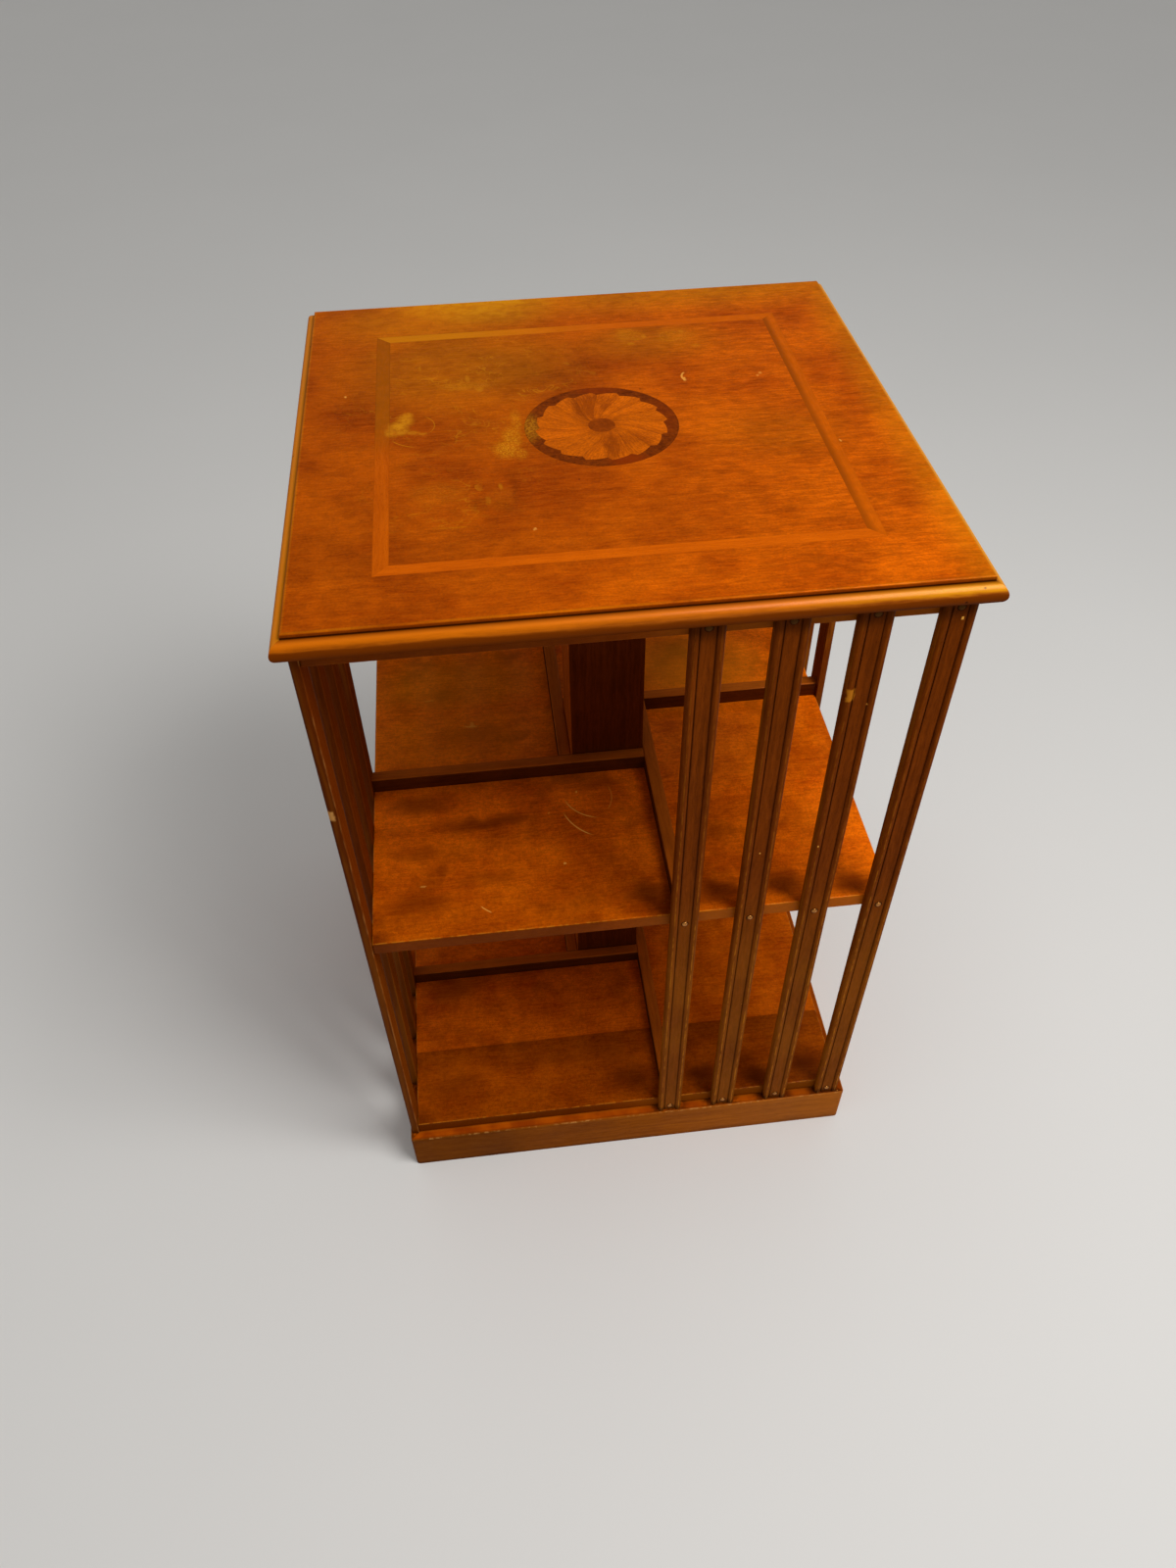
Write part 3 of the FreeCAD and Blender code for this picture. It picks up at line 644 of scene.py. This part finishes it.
def shelf_veneer(looks, name, joint, smudges, outer=0.92, inner=0.92, step=0):
    """A shelf: two leaves of veneer that meet at y = joint, smudges of old polish together with painted shadows
    of the slats and painted shade in the corners, dust and worn arrises.

    outer and inner are the tones at the front edge and further in, painted light and shade. step darkens the
    front leaf at the joint.
    """
    wood = Wood(name, looks.shelf_dark, looks.shelf_light, "x", streak=6, cloud=38,
                shares=(0.1, 0.16, 0.46, 0.28))
    mottle = wood.noise(3.4, 3, 0.6).rise(0.3, 0.7)
    speckle = wood.noise(1.3, 2, 0.6).rise(0.3, 0.7)
    wood.tone(0.75 + 0.28 * mottle + 0.22 * speckle)
    wood.darken(wood.specks(5, 0.5, 0.3) * 0.35)
    # Painted light and shade: the tone changes from the front edge inwards
    wood.tone(outer + (inner - outer) * wood.y.rise(-HALF_SHELF, 110 - HALF_SHELF))
    # Painted shade beside the column, past x = 40
    wood.tone(1 - 0.16 * wood.x.rise(40, 90))
    wander = wood.noise(60) * 2
    in_front = (wood.y + wander).rise(joint + 1.6, joint + 0.6)
    wood.darken(in_front * (0.12 + step * wood.y.rise(joint - 50, joint)))
    dark = wood.noise(42, 3, 0.5).rise(0.52, 0.74) * 0.4
    uneven = wood.wobbled(wood.place, 22, 11)
    dark = dark.larger(wood.spots(uneven, smudges, 0.75) * (0.75 + 0.25 * mottle))
    # Painted shade in the corners of the shelf
    inward = abs(wood.x).smaller(abs(wood.y))
    corner = wood.outward.rise(HALF_SHELF - 26, HALF_SHELF - 4) * inward.rise(HALF_SHELF - 26, HALF_SHELF - 4)
    wood.stain(dark.larger(corner * 0.6), looks.shelf_smudge_and_shadow)
    wood.stain(wood.specks(27, 0.4, 0.16) * 0.8, looks.worn_edge_and_sheen)
    side = wood.outward.rise(HALF_SHELF - 0.7, HALF_SHELF - 0.2)
    wood.stain(side * 0.8, looks.nose_brown)
    # Painted light on the edges towards the right, painted shade on the edges towards the left
    wood.stain(side * wood.x.rise(-20, 40) * 0.14, looks.slat_worn_and_highlight)
    wood.darken(side * wood.x.rise(0, -60) * 0.26)
    arris = wood.outward.near(HALF_SHELF - 0.8, 0.3, 0.4) * wood.noise(4, 3).rise(0.4, 0.6)
    wood.stain(arris * 0.5, looks.slat_worn_and_highlight)
    wood.dull(dark, 0.15)
    return wood


def nail_heights(radius):
    """Heights of the three nails of each slat, in metres, whose heads have that radius."""
    low, high = (corner.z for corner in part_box("front_slat_nails"))
    return low + radius, middle_of("middle_shelf").z, high - radius


def slat_wood(looks, side, nail_radius):
    """A beaded slat: rubbed crests with painted highlights, polish and painted shade in the quirks, darker
    towards the foot, and painted shadow under the moulding.
    """
    wood = Wood("slat_wood_" + side, looks.slat_dark, looks.slat_light, "z", fibre=0.8, streak=3,
                cloud=60, shares=(0.25, 0.4, 0.1, 0.25))
    off_middle = abs(wood.parts(wood.share)[0 if side in LONG_SIDES["x"] else 1] - 0.5) * SLAT_WIDTH
    wood.stain(wood.z.rise(460, 300) * (0.1 + 0.1 * wood.clouds), looks.slat_worn_and_highlight)
    # Painted shade, with old polish, in the quirks
    wood.stain(off_middle.near(5.6, 0.1, 1.2) * 0.35, looks.old_polish_and_shade)
    low = wood.z.rise(700, 100)
    # Rubbed crests with painted highlight, stronger towards the foot
    crest = off_middle.near(9.2, 0.15, 0.65) * wood.noise(2, 4, 0.7, place=wood.flaky).rise(0.42, 0.6)
    wood.stain(crest * (0.12 + 0.6 * low), looks.slat_worn_and_highlight)
    arris = off_middle.rise(SLAT_WIDTH / 2 - 0.9, SLAT_WIDTH / 2 - 0.2)
    wood.stain(arris * wood.noise(9, 3, place=wood.grain).rise(0.45, 0.62) * 0.25, looks.slat_worn_and_highlight)
    wood.stain(wood.specks(15, 0.35, 0.12) * 0.7, looks.bare_chip)
    for height in nail_heights(nail_radius):
        off_nail = wood.length(wood.joined(off_middle, wood.z - height * MM))
        wood.darken(off_nail.near(nail_radius * MM + 0.3, 0.3, 0.7) * 0.6)
    # Darker towards the foot
    foot = (wood.z + 5 * wood.streaks).rise(SLAT_FOOT + 12, SLAT_FOOT + 4)
    wood.stain(foot * 0.6, looks.old_polish_and_shade)
    # Painted shadow under the moulding
    ceiling = (wood.z + 4 * wood.streaks).rise(NOSE_FLOOR - 16, NOSE_FLOOR - 4)
    wood.stain(ceiling * 0.5, looks.old_polish_and_shade)
    return wood


def metal(name, colour, spread, size):
    """A metal whose colour varies by a noise. Returns the finish, the noise and the surface's values."""
    finish = Finish(name)
    cloud = finish.noise(size, 3).rise(0.3, 0.7)
    shade = finish.vector("SCALE", colour, Scale=1 - spread * cloud)
    return finish, cloud, {"Base Color": shade, "Metallic": 1}


def dome(radius, height):
    """Profile of a nail head, from its rim to its crown, as distances out and up."""
    points = [(radius, -RIM_SUNK * height), (radius, RIM_STANDS * height)]
    for ring in range(1, DOME_RINGS):
        angle = math.radians(90) * ring / DOME_RINGS
        points.append((radius * math.cos(angle), height * (RIM_STANDS + (1 - RIM_STANDS) * math.sin(angle))))
    return points


def nail_mesh(name, places, radius, height):
    """Domed heads on square shanks, at places given as distances across, out and up on the front face."""
    mesh = bmesh.new()
    chance = random.Random(7)
    for across, out, up in places:
        lean = Matrix.Rotation(math.radians(chance.uniform(-NAIL_LEAN, NAIL_LEAN)), 4, "Z") \
            @ Matrix.Rotation(math.radians(chance.uniform(-NAIL_LEAN, NAIL_LEAN)), 4, "X")
        seat = Matrix.Translation((across, -out, up)) @ lean @ Matrix.Rotation(math.radians(90), 4, "X")
        rings = []
        for distance, rise in dome(radius, height):
            circle = [(distance * math.cos(a), distance * math.sin(a), rise)
                      for a in (2 * math.pi * s / DOME_SEGMENTS for s in range(DOME_SEGMENTS))]
            rings.append([mesh.verts.new(seat @ Vector(point)) for point in circle])
        crown = mesh.verts.new(seat @ Vector((0, 0, height)))
        for s in range(DOME_SEGMENTS):
            t = (s + 1) % DOME_SEGMENTS
            for lower, upper in zip(rings, rings[1:]):
                mesh.faces.new((lower[s], lower[t], upper[t], upper[s]))
            mesh.faces.new((rings[-1][s], rings[-1][t], crown))
        mesh.faces.new(list(reversed(rings[0])))
        half = radius * SHANK_SHARE
        corners = [(-half, -half), (half, -half), (half, half), (-half, half)]
        near = [mesh.verts.new(seat @ Vector((x, y, -RIM_SUNK * height))) for x, y in corners]
        tip = [mesh.verts.new(seat @ Vector((TIP_SHARE * x, TIP_SHARE * y, -SHANK_LENGTH)))
               for x, y in corners]
        for s in range(4):
            mesh.faces.new((tip[s], tip[(s + 1) % 4], near[(s + 1) % 4], near[s]))
        mesh.faces.new(list(reversed(tip)))
        mesh.faces.new(near)
    made = bpy.data.meshes.new(name)
    mesh.to_mesh(made)
    mesh.free()
    made.shade_smooth()
    made.set_sharp_from_angle(angle=math.radians(50))
    return made


class BOOKCASE_OT_top_field(bpy.types.Operator):
    """Veneer the raised field of the top, with its wear"""

    bl_idname = "bookcase.top_field"
    bl_label = "Raised field"

    def execute(self, context):
        dress(field_veneer(context.scene.bookcase_looks), "top_board")
        return {"FINISHED"}


class BOOKCASE_OT_mouldings(bpy.types.Operator):
    """Stain the four bullnose mouldings round the top"""

    bl_idname = "bookcase.mouldings"
    bl_label = "Mouldings"

    def execute(self, context):
        for along, sides in LONG_SIDES.items():
            material = nose_wood(context.scene.bookcase_looks, along)
            dress(material, *["top_" + side + "_moulding" for side in sides])
        return {"FINISHED"}


class BOOKCASE_OT_banding(bpy.types.Operator):
    """Veneer the four strips of banding"""

    bl_idname = "bookcase.banding"
    bl_label = "Banding"

    def execute(self, context):
        for side in SIDES:
            dress(banding_veneer(context.scene.bookcase_looks, side), "banding_" + side)
        return {"FINISHED"}


class BOOKCASE_OT_patera(bpy.types.Operator):
    """Shade the petals of the patera and darken its ring and boss"""

    bl_idname = "bookcase.patera"
    bl_label = "Patera"

    def execute(self, context):
        looks = context.scene.bookcase_looks
        dress(petal_veneer(looks), "patera_petals")
        dress(ring_veneer(looks), "patera_ring", "patera_boss")
        return {"FINISHED"}


class BOOKCASE_OT_shelves(bpy.types.Operator):
    """Veneer the two shelves and the upper board"""

    bl_idname = "bookcase.shelves"
    bl_label = "Shelves"

    def execute(self, context):
        looks = context.scene.bookcase_looks
        middle = shelf_veneer(looks, "middle_shelf_veneer", -95.5, MIDDLE_SMUDGES_AND_SHADOWS, 0.98, 1.4)
        pale = middle.spots(middle.wobbled(middle.place, 3, 1.5), MIDDLE_CHIPS, 0.4)
        middle.stain(pale.larger(thin_arcs(middle, MIDDLE_SCRATCHES, 0.4)) * 0.8, looks.bare_chip)
        yellowed = middle.spots(middle.wobbled(middle.place, 20, 8), MIDDLE_YELLOWED, 0.7)
        middle.stain(yellowed, looks.golden_haze_and_sheen)
        # Painted light and shade on the middle shelf: lighter behind the front slats and towards the right,
        # darker further in behind the slats and in the shaded patch at the back right
        behind_slats = middle.x.rise(40, 75)
        middle.tone(1 + 0.26 * behind_slats * middle.y.rise(-130, -175))
        middle.darken(0.24 * behind_slats * middle.y.near(-28, 25, 45))
        shaded = middle.spot(middle.place, (95, 105), (60, 50), 0.6)
        middle.tone(1 + 0.14 * middle.x.rise(50, 110) + 0.24 * middle.x.rise(150, 222) - 0.28 * shaded)
        dress(middle.done(lacquer=0.06), "middle_shelf")
        bottom = shelf_veneer(looks, "bottom_shelf_veneer", -140, BOTTOM_SMUDGES_AND_SHADOWS, 0.58, 1.06, 0.36)
        # Painted shade beside the column, towards +x
        bottom.darken(0.12 * bottom.x.rise(40, 110))
        bottom.stain(bottom.specks(4, 0.35, 0.25) * 0.4, looks.slat_worn_and_highlight)
        dress(bottom.done(lacquer=0.06), "bottom_shelf")
        upper = shelf_veneer(looks, "upper_board_veneer", 60, UPPER_SMUDGES)
        dress(upper.done(lacquer=0.04), "upper_board")
        return {"FINISHED"}


class BOOKCASE_OT_column(bpy.types.Operator):
    """Stain the four boards of the column, dark with painted shade and with their left face painted lit"""

    bl_idname = "bookcase.column"
    bl_label = "Column"

    def execute(self, context):
        looks = context.scene.bookcase_looks
        wood = Wood("column_wood", looks.column_dark, looks.column_light, "z", streak=4, cloud=50)
        outside = lowest("column_left_board").x
        # Painted light: the left face of the column is made lighter, as the lit face
        lit_left_face = wood.x.rise(outside + 1.5, outside + 0.5)
        wood.stain(lit_left_face * (0.25 + 0.55 * wood.streaks), looks.rail_light)
        wood.tone(1 + lit_left_face * (0.9 + 0.9 * wood.flakes))
        wood.stain(wood.specks(24, 0.4, 0.15) * 0.5, looks.slat_worn_and_highlight)
        dress(wood.done(lacquer=0.04), *["column_" + side + "_board" for side in SIDES])
        return {"FINISHED"}


class BOOKCASE_OT_rails(bpy.types.Operator):
    """Stain the stop rails behind the compartments, their tops painted lit and their sides painted shaded"""

    bl_idname = "bookcase.rails"
    bl_label = "Stop rails"

    def execute(self, context):
        looks = context.scene.bookcase_looks
        for along, sides in LONG_SIDES.items():
            wood = Wood("rail_wood_" + along, looks.rail_dark, looks.rail_light, along, streak=3.5,
                        cloud=40)
            # Painted light and shade: the rails' tops are made much lighter and their sides darker
            top = wood.parts(wood.share)[2].rise(0.92, 0.99)
            wood.tone(0.66 + 1.9 * top)
            wood.stain(top * 0.16, looks.slat_worn_and_highlight)
            wood.stain(wood.specks(19, 0.5, 0.2) * 0.5, looks.worn_edge_and_sheen)
            dress(wood.done(lacquer=0.04),
                  *[tier + side + "_rail" for side in sides for tier in ("lower_", "upper_")])
        return {"FINISHED"}


class BOOKCASE_OT_slats(bpy.types.Operator):
    """Stain the beaded slats, rubbed on their beads and chipped here and there"""

    bl_idname = "bookcase.slats"
    bl_label = "Slats"

    def execute(self, context):
        looks, studio = context.scene.bookcase_looks, context.scene.bookcase_studio
        for side in SIDES:
            wood = slat_wood(looks, side, studio.nail_radius)
            across, deep, up = wood.parts(wood.wobbled(wood.place, 4, 1.6))
            if side == "front":
                wood.stain(across.near(150, 2.2, 1.5) * up.near(644, 4.5, 2) * 0.8, looks.slat_worn_and_highlight)
                for x, z, reach in ((218.5, 706, 1.1), (101, 475.5, 0.6), (149, 478.5, 0.6), (164, 633, 0.5)):
                    speck = wood.x.near(x, reach * 0.6, 0.4) * wood.z.near(z, reach, 0.4)
                    wood.stain(speck * 0.9, looks.bare_chip)
            if side == "left":
                inner = highest("left_slat_1").x
                front = lowest("left_slat_4").y
                # Painted shade: the left slats are stained dark red-brown and made darker, except at their
                # inner edge
                wood.stain(0.55, looks.ring_dark)
                arris = wood.x.near(inner - 0.4, 0.4, 0.4) * wood.y.near(front + 0.4, 0.4, 0.5)
                wood.stain(arris * wood.noise(3, 3, place=wood.flaky).rise(0.4, 0.65) * 0.22, looks.worn_edge_and_sheen)
                wood.tone(0.84 + 0.56 * wood.x.rise(inner - 0.8, inner - 0.3))
                chip = across.rise(-229.2, -231) * deep.rise(-222, -225) * up.near(562, 3.4, 3)
                wood.stain(chip * 0.9, looks.worn_edge_and_sheen)
            dress(wood.done(lacquer=0.02), *[side + "_slat_" + number for number in SLAT_NUMBERS])
        return {"FINISHED"}


class BOOKCASE_OT_nails(bpy.types.Operator):
    """Set domed nail heads in the slats, in place of the plain ones"""

    bl_idname = "bookcase.nails"
    bl_label = "Nails"

    def execute(self, context):
        looks, studio = context.scene.bookcase_looks, context.scene.bookcase_studio
        finish, cloud, values = metal("nail_brass", looks.brass, 0.2, 3)
        # The top row of nails, under the moulding, is fully tarnished: tarnish together with painted shade
        tarnish = finish.noise(1.2, 2).rise(0.52, 0.7).larger(finish.z.rise(703, 706))
        values["Base Color"] = finish.mixed(values["Base Color"], looks.tarnish, tarnish * 0.85)
        values["Roughness"] = 0.26 + 0.4 * tarnish
        values["Metallic"] = 0.85 - 0.7 * tarnish
        values["Specular IOR Level"] = 0
        material = finish.shader(values)
        out = -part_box("front_slat_nails")[0].y - studio.nail_height
        places = [(across, out, up) for across in SLAT_MIDDLES for up in nail_heights(studio.nail_radius)]
        for index, side in enumerate(SIDES):
            mesh = nail_mesh(side + "_nails", places, studio.nail_radius, studio.nail_height)
            mesh.transform(Matrix.Rotation(math.radians(90 * index), 4, "Z"))
            mesh.materials.append(material)
            nails = bpy.data.objects.new(side + "_nails", mesh)
            context.scene.collection.objects.link(nails)
            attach(nails, "case")
            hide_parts(side + "_slat_nails")
        return {"FINISHED"}


class BOOKCASE_OT_plinth(bpy.types.Operator):
    """Stain the plinth's boards, worn along their top edge and painted lighter towards the right, and leave its
    inside bare
    """

    bl_idname = "bookcase.plinth"
    bl_label = "Plinth"

    def execute(self, context):
        looks = context.scene.bookcase_looks
        for along, sides in LONG_SIDES.items():
            wood = Wood("plinth_wood_" + along, looks.plinth_dark, looks.plinth_light, along, cloud=50)
            # Painted light: the plinth is made lighter towards the right, with a painted golden sheen
            wood.tone(0.92 + 0.38 * wood.x.rise(-150, -90) + 0.62 * wood.x.rise(-90, 170))
            wood.stain(wood.x.rise(0, 200) * 0.1, looks.worn_edge_and_sheen)
            inside = wood.outward.rise(HALF_PLINTH - 0.8, HALF_PLINTH - 2)
            ledge = wood.z.rise(PLINTH_HEIGHT - 1.6, PLINTH_HEIGHT - 0.4) * inside
            wood.stain(ledge * 0.8, looks.shelf_dark)
            bare = wood.noise(30, 3).rise(0.4, 0.65)
            wood.stain(ledge * bare * 0.45, looks.shelf_light)
            wood.stain(ledge * wood.outward.rise(HALF_PLINTH - 7, HALF_PLINTH - 9) * 0.12, looks.slat_worn_and_highlight)
            wood.darken(ledge * wood.x.rise(60, 190) * 0.26)
            rim = wood.outward.rise(HALF_PLINTH - 3.5, HALF_PLINTH - 2.2)
            wood.stain(ledge * rim * 0.4, looks.plinth_dark)
            if along == "x":
                across = wood.x * (1 - 2 * wood.y.rise(-1, 1))
            else:
                across = wood.y * (2 * wood.x.rise(-1, 1) - 1)
            for slat_middle in SLAT_MIDDLES:
                foot = ledge * across.near(slat_middle * MM, 14, 10)
                wood.stain(foot * wood.noise(6, 3).rise(0.3, 0.5) * 0.6, looks.old_polish_and_shade)
                wood.stain(foot * wood.specks(4, 0.4, 0.3) * 0.8, looks.bare_chip)
            edge = wood.outward.near(HALF_PLINTH - 0.9, 0.5, 0.6)
            arris = wood.z.near(PLINTH_HEIGHT - 0.9, 0.4, 0.6) * edge
            broken = wood.noise(5, 4, 0.7).rise(0.48, 0.6)
            patchy = 0.35 + 0.65 * wood.noise(45).rise(0.42, 0.6)
            wood.stain(arris * broken * patchy * 0.7, looks.worn_edge_and_sheen)
            wood.stain(wood.specks(22, 0.6, 0.12), looks.worn_edge_and_sheen)
            wood.darken((wood.z + 4 * wood.clouds).rise(9, 2) * 0.35)
            wood.dull(wood.clouds, 0.15)
            dress(wood.done(lacquer=0.02), *["plinth_" + side + "_board" for side in sides])
        bare = Wood("bare_board", looks.board_dark, looks.board_light, "x", streak=9, cloud=60)
        bare.dull(bare.clouds, 0.3)
        dress(bare.done(lacquer=0), "plinth_top_panel", "plinth_glue_blocks")
        return {"FINISHED"}


class BOOKCASE_OT_swivel(bpy.types.Operator):
    """Plate the swivel and its screws with zinc and polish its balls"""

    bl_idname = "bookcase.swivel"
    bl_label = "Swivel"

    def execute(self, context):
        looks = context.scene.bookcase_looks
        finish, cloud, values = metal("zinc_plate", looks.zinc, 0.18, 9)
        spangle = finish.node("ShaderNodeTexVoronoi", None, {"Vector": finish.place, "Scale": 0.25})
        values["Roughness"] = 0.26 + 0.2 * finish.parts(spangle.outputs["Color"])[0]
        dress(finish.shader(values), "swivel_lower_plate", "swivel_upper_plate")
        finish, cloud, values = metal("ball_steel", looks.ball_steel, 0.05, 2)
        values["Roughness"] = 0.1 + 0.15 * cloud
        dress(finish.shader(values), "swivel_balls")
        finish, cloud, values = metal("screw_zinc", looks.zinc, 0.3, 1.5)
        values["Roughness"] = 0.36 + 0.15 * cloud
        dress(finish.shader(values), "lower_plate_screws", "upper_plate_screws", "top_screws")
        return {"FINISHED"}


class BOOKCASE_OT_stage(bpy.types.Operator):
    """Lay the pale floor, hang the soft lamp and set the camera"""

    bl_idname = "bookcase.stage"
    bl_label = "Stage"

    def execute(self, context):
        scene, studio = context.scene, context.scene.bookcase_studio
        finish = Finish("studio_floor")
        clouds = finish.noise(400)
        shade = finish.vector("SCALE", studio.floor_colour, Scale=0.985 + 0.03 * clouds)
        material = finish.shader({"Base Color": shade, "Roughness": 0.7, "Specular IOR Level": 0.2})
        mesh = bpy.data.meshes.new("studio_floor")
        reach = 14
        mesh.from_pydata([(-reach, -reach, 0), (reach, -reach, 0), (reach, reach, 0), (-reach, reach, 0)], [],
                         [(0, 1, 2, 3)])
        mesh.materials.append(material)
        floor = bpy.data.objects.new("studio_floor", mesh)
        scene.collection.objects.link(floor)

        lamp_data = bpy.data.lights.new("soft_lamp", "AREA")
        lamp_data.shape = "SQUARE"
        lamp_data.size = studio.lamp_size
        lamp_data.energy = studio.lamp_power
        lamp = bpy.data.objects.new("soft_lamp", lamp_data)
        lamp.location = studio.lamp_place
        aim = Vector((0, 0, TOP_SURFACE / MM / 2)) - lamp.location
        lamp.rotation_euler = aim.to_track_quat("-Z", "Y").to_euler()
        scene.collection.objects.link(lamp)

        sky = Tree(bpy.data.worlds.new("studio"))
        height = sky.parts(sky.node("ShaderNodeTexCoord").outputs["Generated"])[2]
        low, high, overhead = studio.sky_low, studio.sky_high, studio.sky_overhead
        strength = high + (low - high) * height.rise(0.4, 0) + (overhead - high) * height.rise(0.85, 0.95)
        light = sky.node("ShaderNodeBackground", None, {"Color": (1, 1, 1), "Strength": strength})
        sky.node("ShaderNodeOutputWorld", None, {0: light.outputs[0]})
        scene.world = sky.owner

        view = bpy.data.cameras.new("camera")
        view.sensor_fit = "AUTO"
        view.sensor_width = 36
        view.lens = studio.lens
        view.clip_start, view.clip_end = 0.05, 60
        camera = bpy.data.objects.new("camera", view)
        turn = Matrix.Rotation(-studio.camera_turn, 4, "Z") \
            @ Matrix.Rotation(math.radians(90) - studio.camera_tilt, 4, "X") \
            @ Matrix.Rotation(studio.camera_roll, 4, "Z")
        camera.matrix_world = Matrix.Translation(studio.camera_place) @ turn
        scene.collection.objects.link(camera)
        scene.camera = camera
        scene.view_settings.view_transform = "Standard"
        return {"FINISHED"}


OPERATORS = (BOOKCASE_OT_top_field, BOOKCASE_OT_mouldings, BOOKCASE_OT_banding, BOOKCASE_OT_patera,
             BOOKCASE_OT_shelves, BOOKCASE_OT_column, BOOKCASE_OT_rails, BOOKCASE_OT_slats, BOOKCASE_OT_nails,
             BOOKCASE_OT_plinth, BOOKCASE_OT_swivel, BOOKCASE_OT_stage)


class BOOKCASE_PT_sidebar(bpy.types.Panel):
    """Buttons that finish each group of pieces"""

    bl_label = "Revolving bookcase"
    bl_idname = "BOOKCASE_PT_sidebar"
    bl_space_type = "VIEW_3D"
    bl_region_type = "UI"
    bl_category = "Bookcase"

    def draw(self, context):
        for operator in OPERATORS:
            self.layout.operator(operator.bl_idname)
        for group in (context.scene.bookcase_looks, context.scene.bookcase_studio):
            column = self.layout.column(align=True)
            for name in group.__annotations__:
                column.prop(group, name)


CLASSES = (BookcaseLooks, BookcaseStudio, *OPERATORS, BOOKCASE_PT_sidebar)


def register():
    for made in CLASSES:
        bpy.utils.register_class(made)
    bpy.types.Scene.bookcase_looks = PointerProperty(type=BookcaseLooks)
    bpy.types.Scene.bookcase_studio = PointerProperty(type=BookcaseStudio)


def unregister():
    del bpy.types.Scene.bookcase_studio
    del bpy.types.Scene.bookcase_looks
    for made in reversed(CLASSES):
        bpy.utils.unregister_class(made)


def main():
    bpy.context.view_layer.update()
    register()
    for operator in OPERATORS:
        group, name = operator.bl_idname.split(".")
        getattr(getattr(bpy.ops, group), name)()


if __name__ == "__main__":
    main()
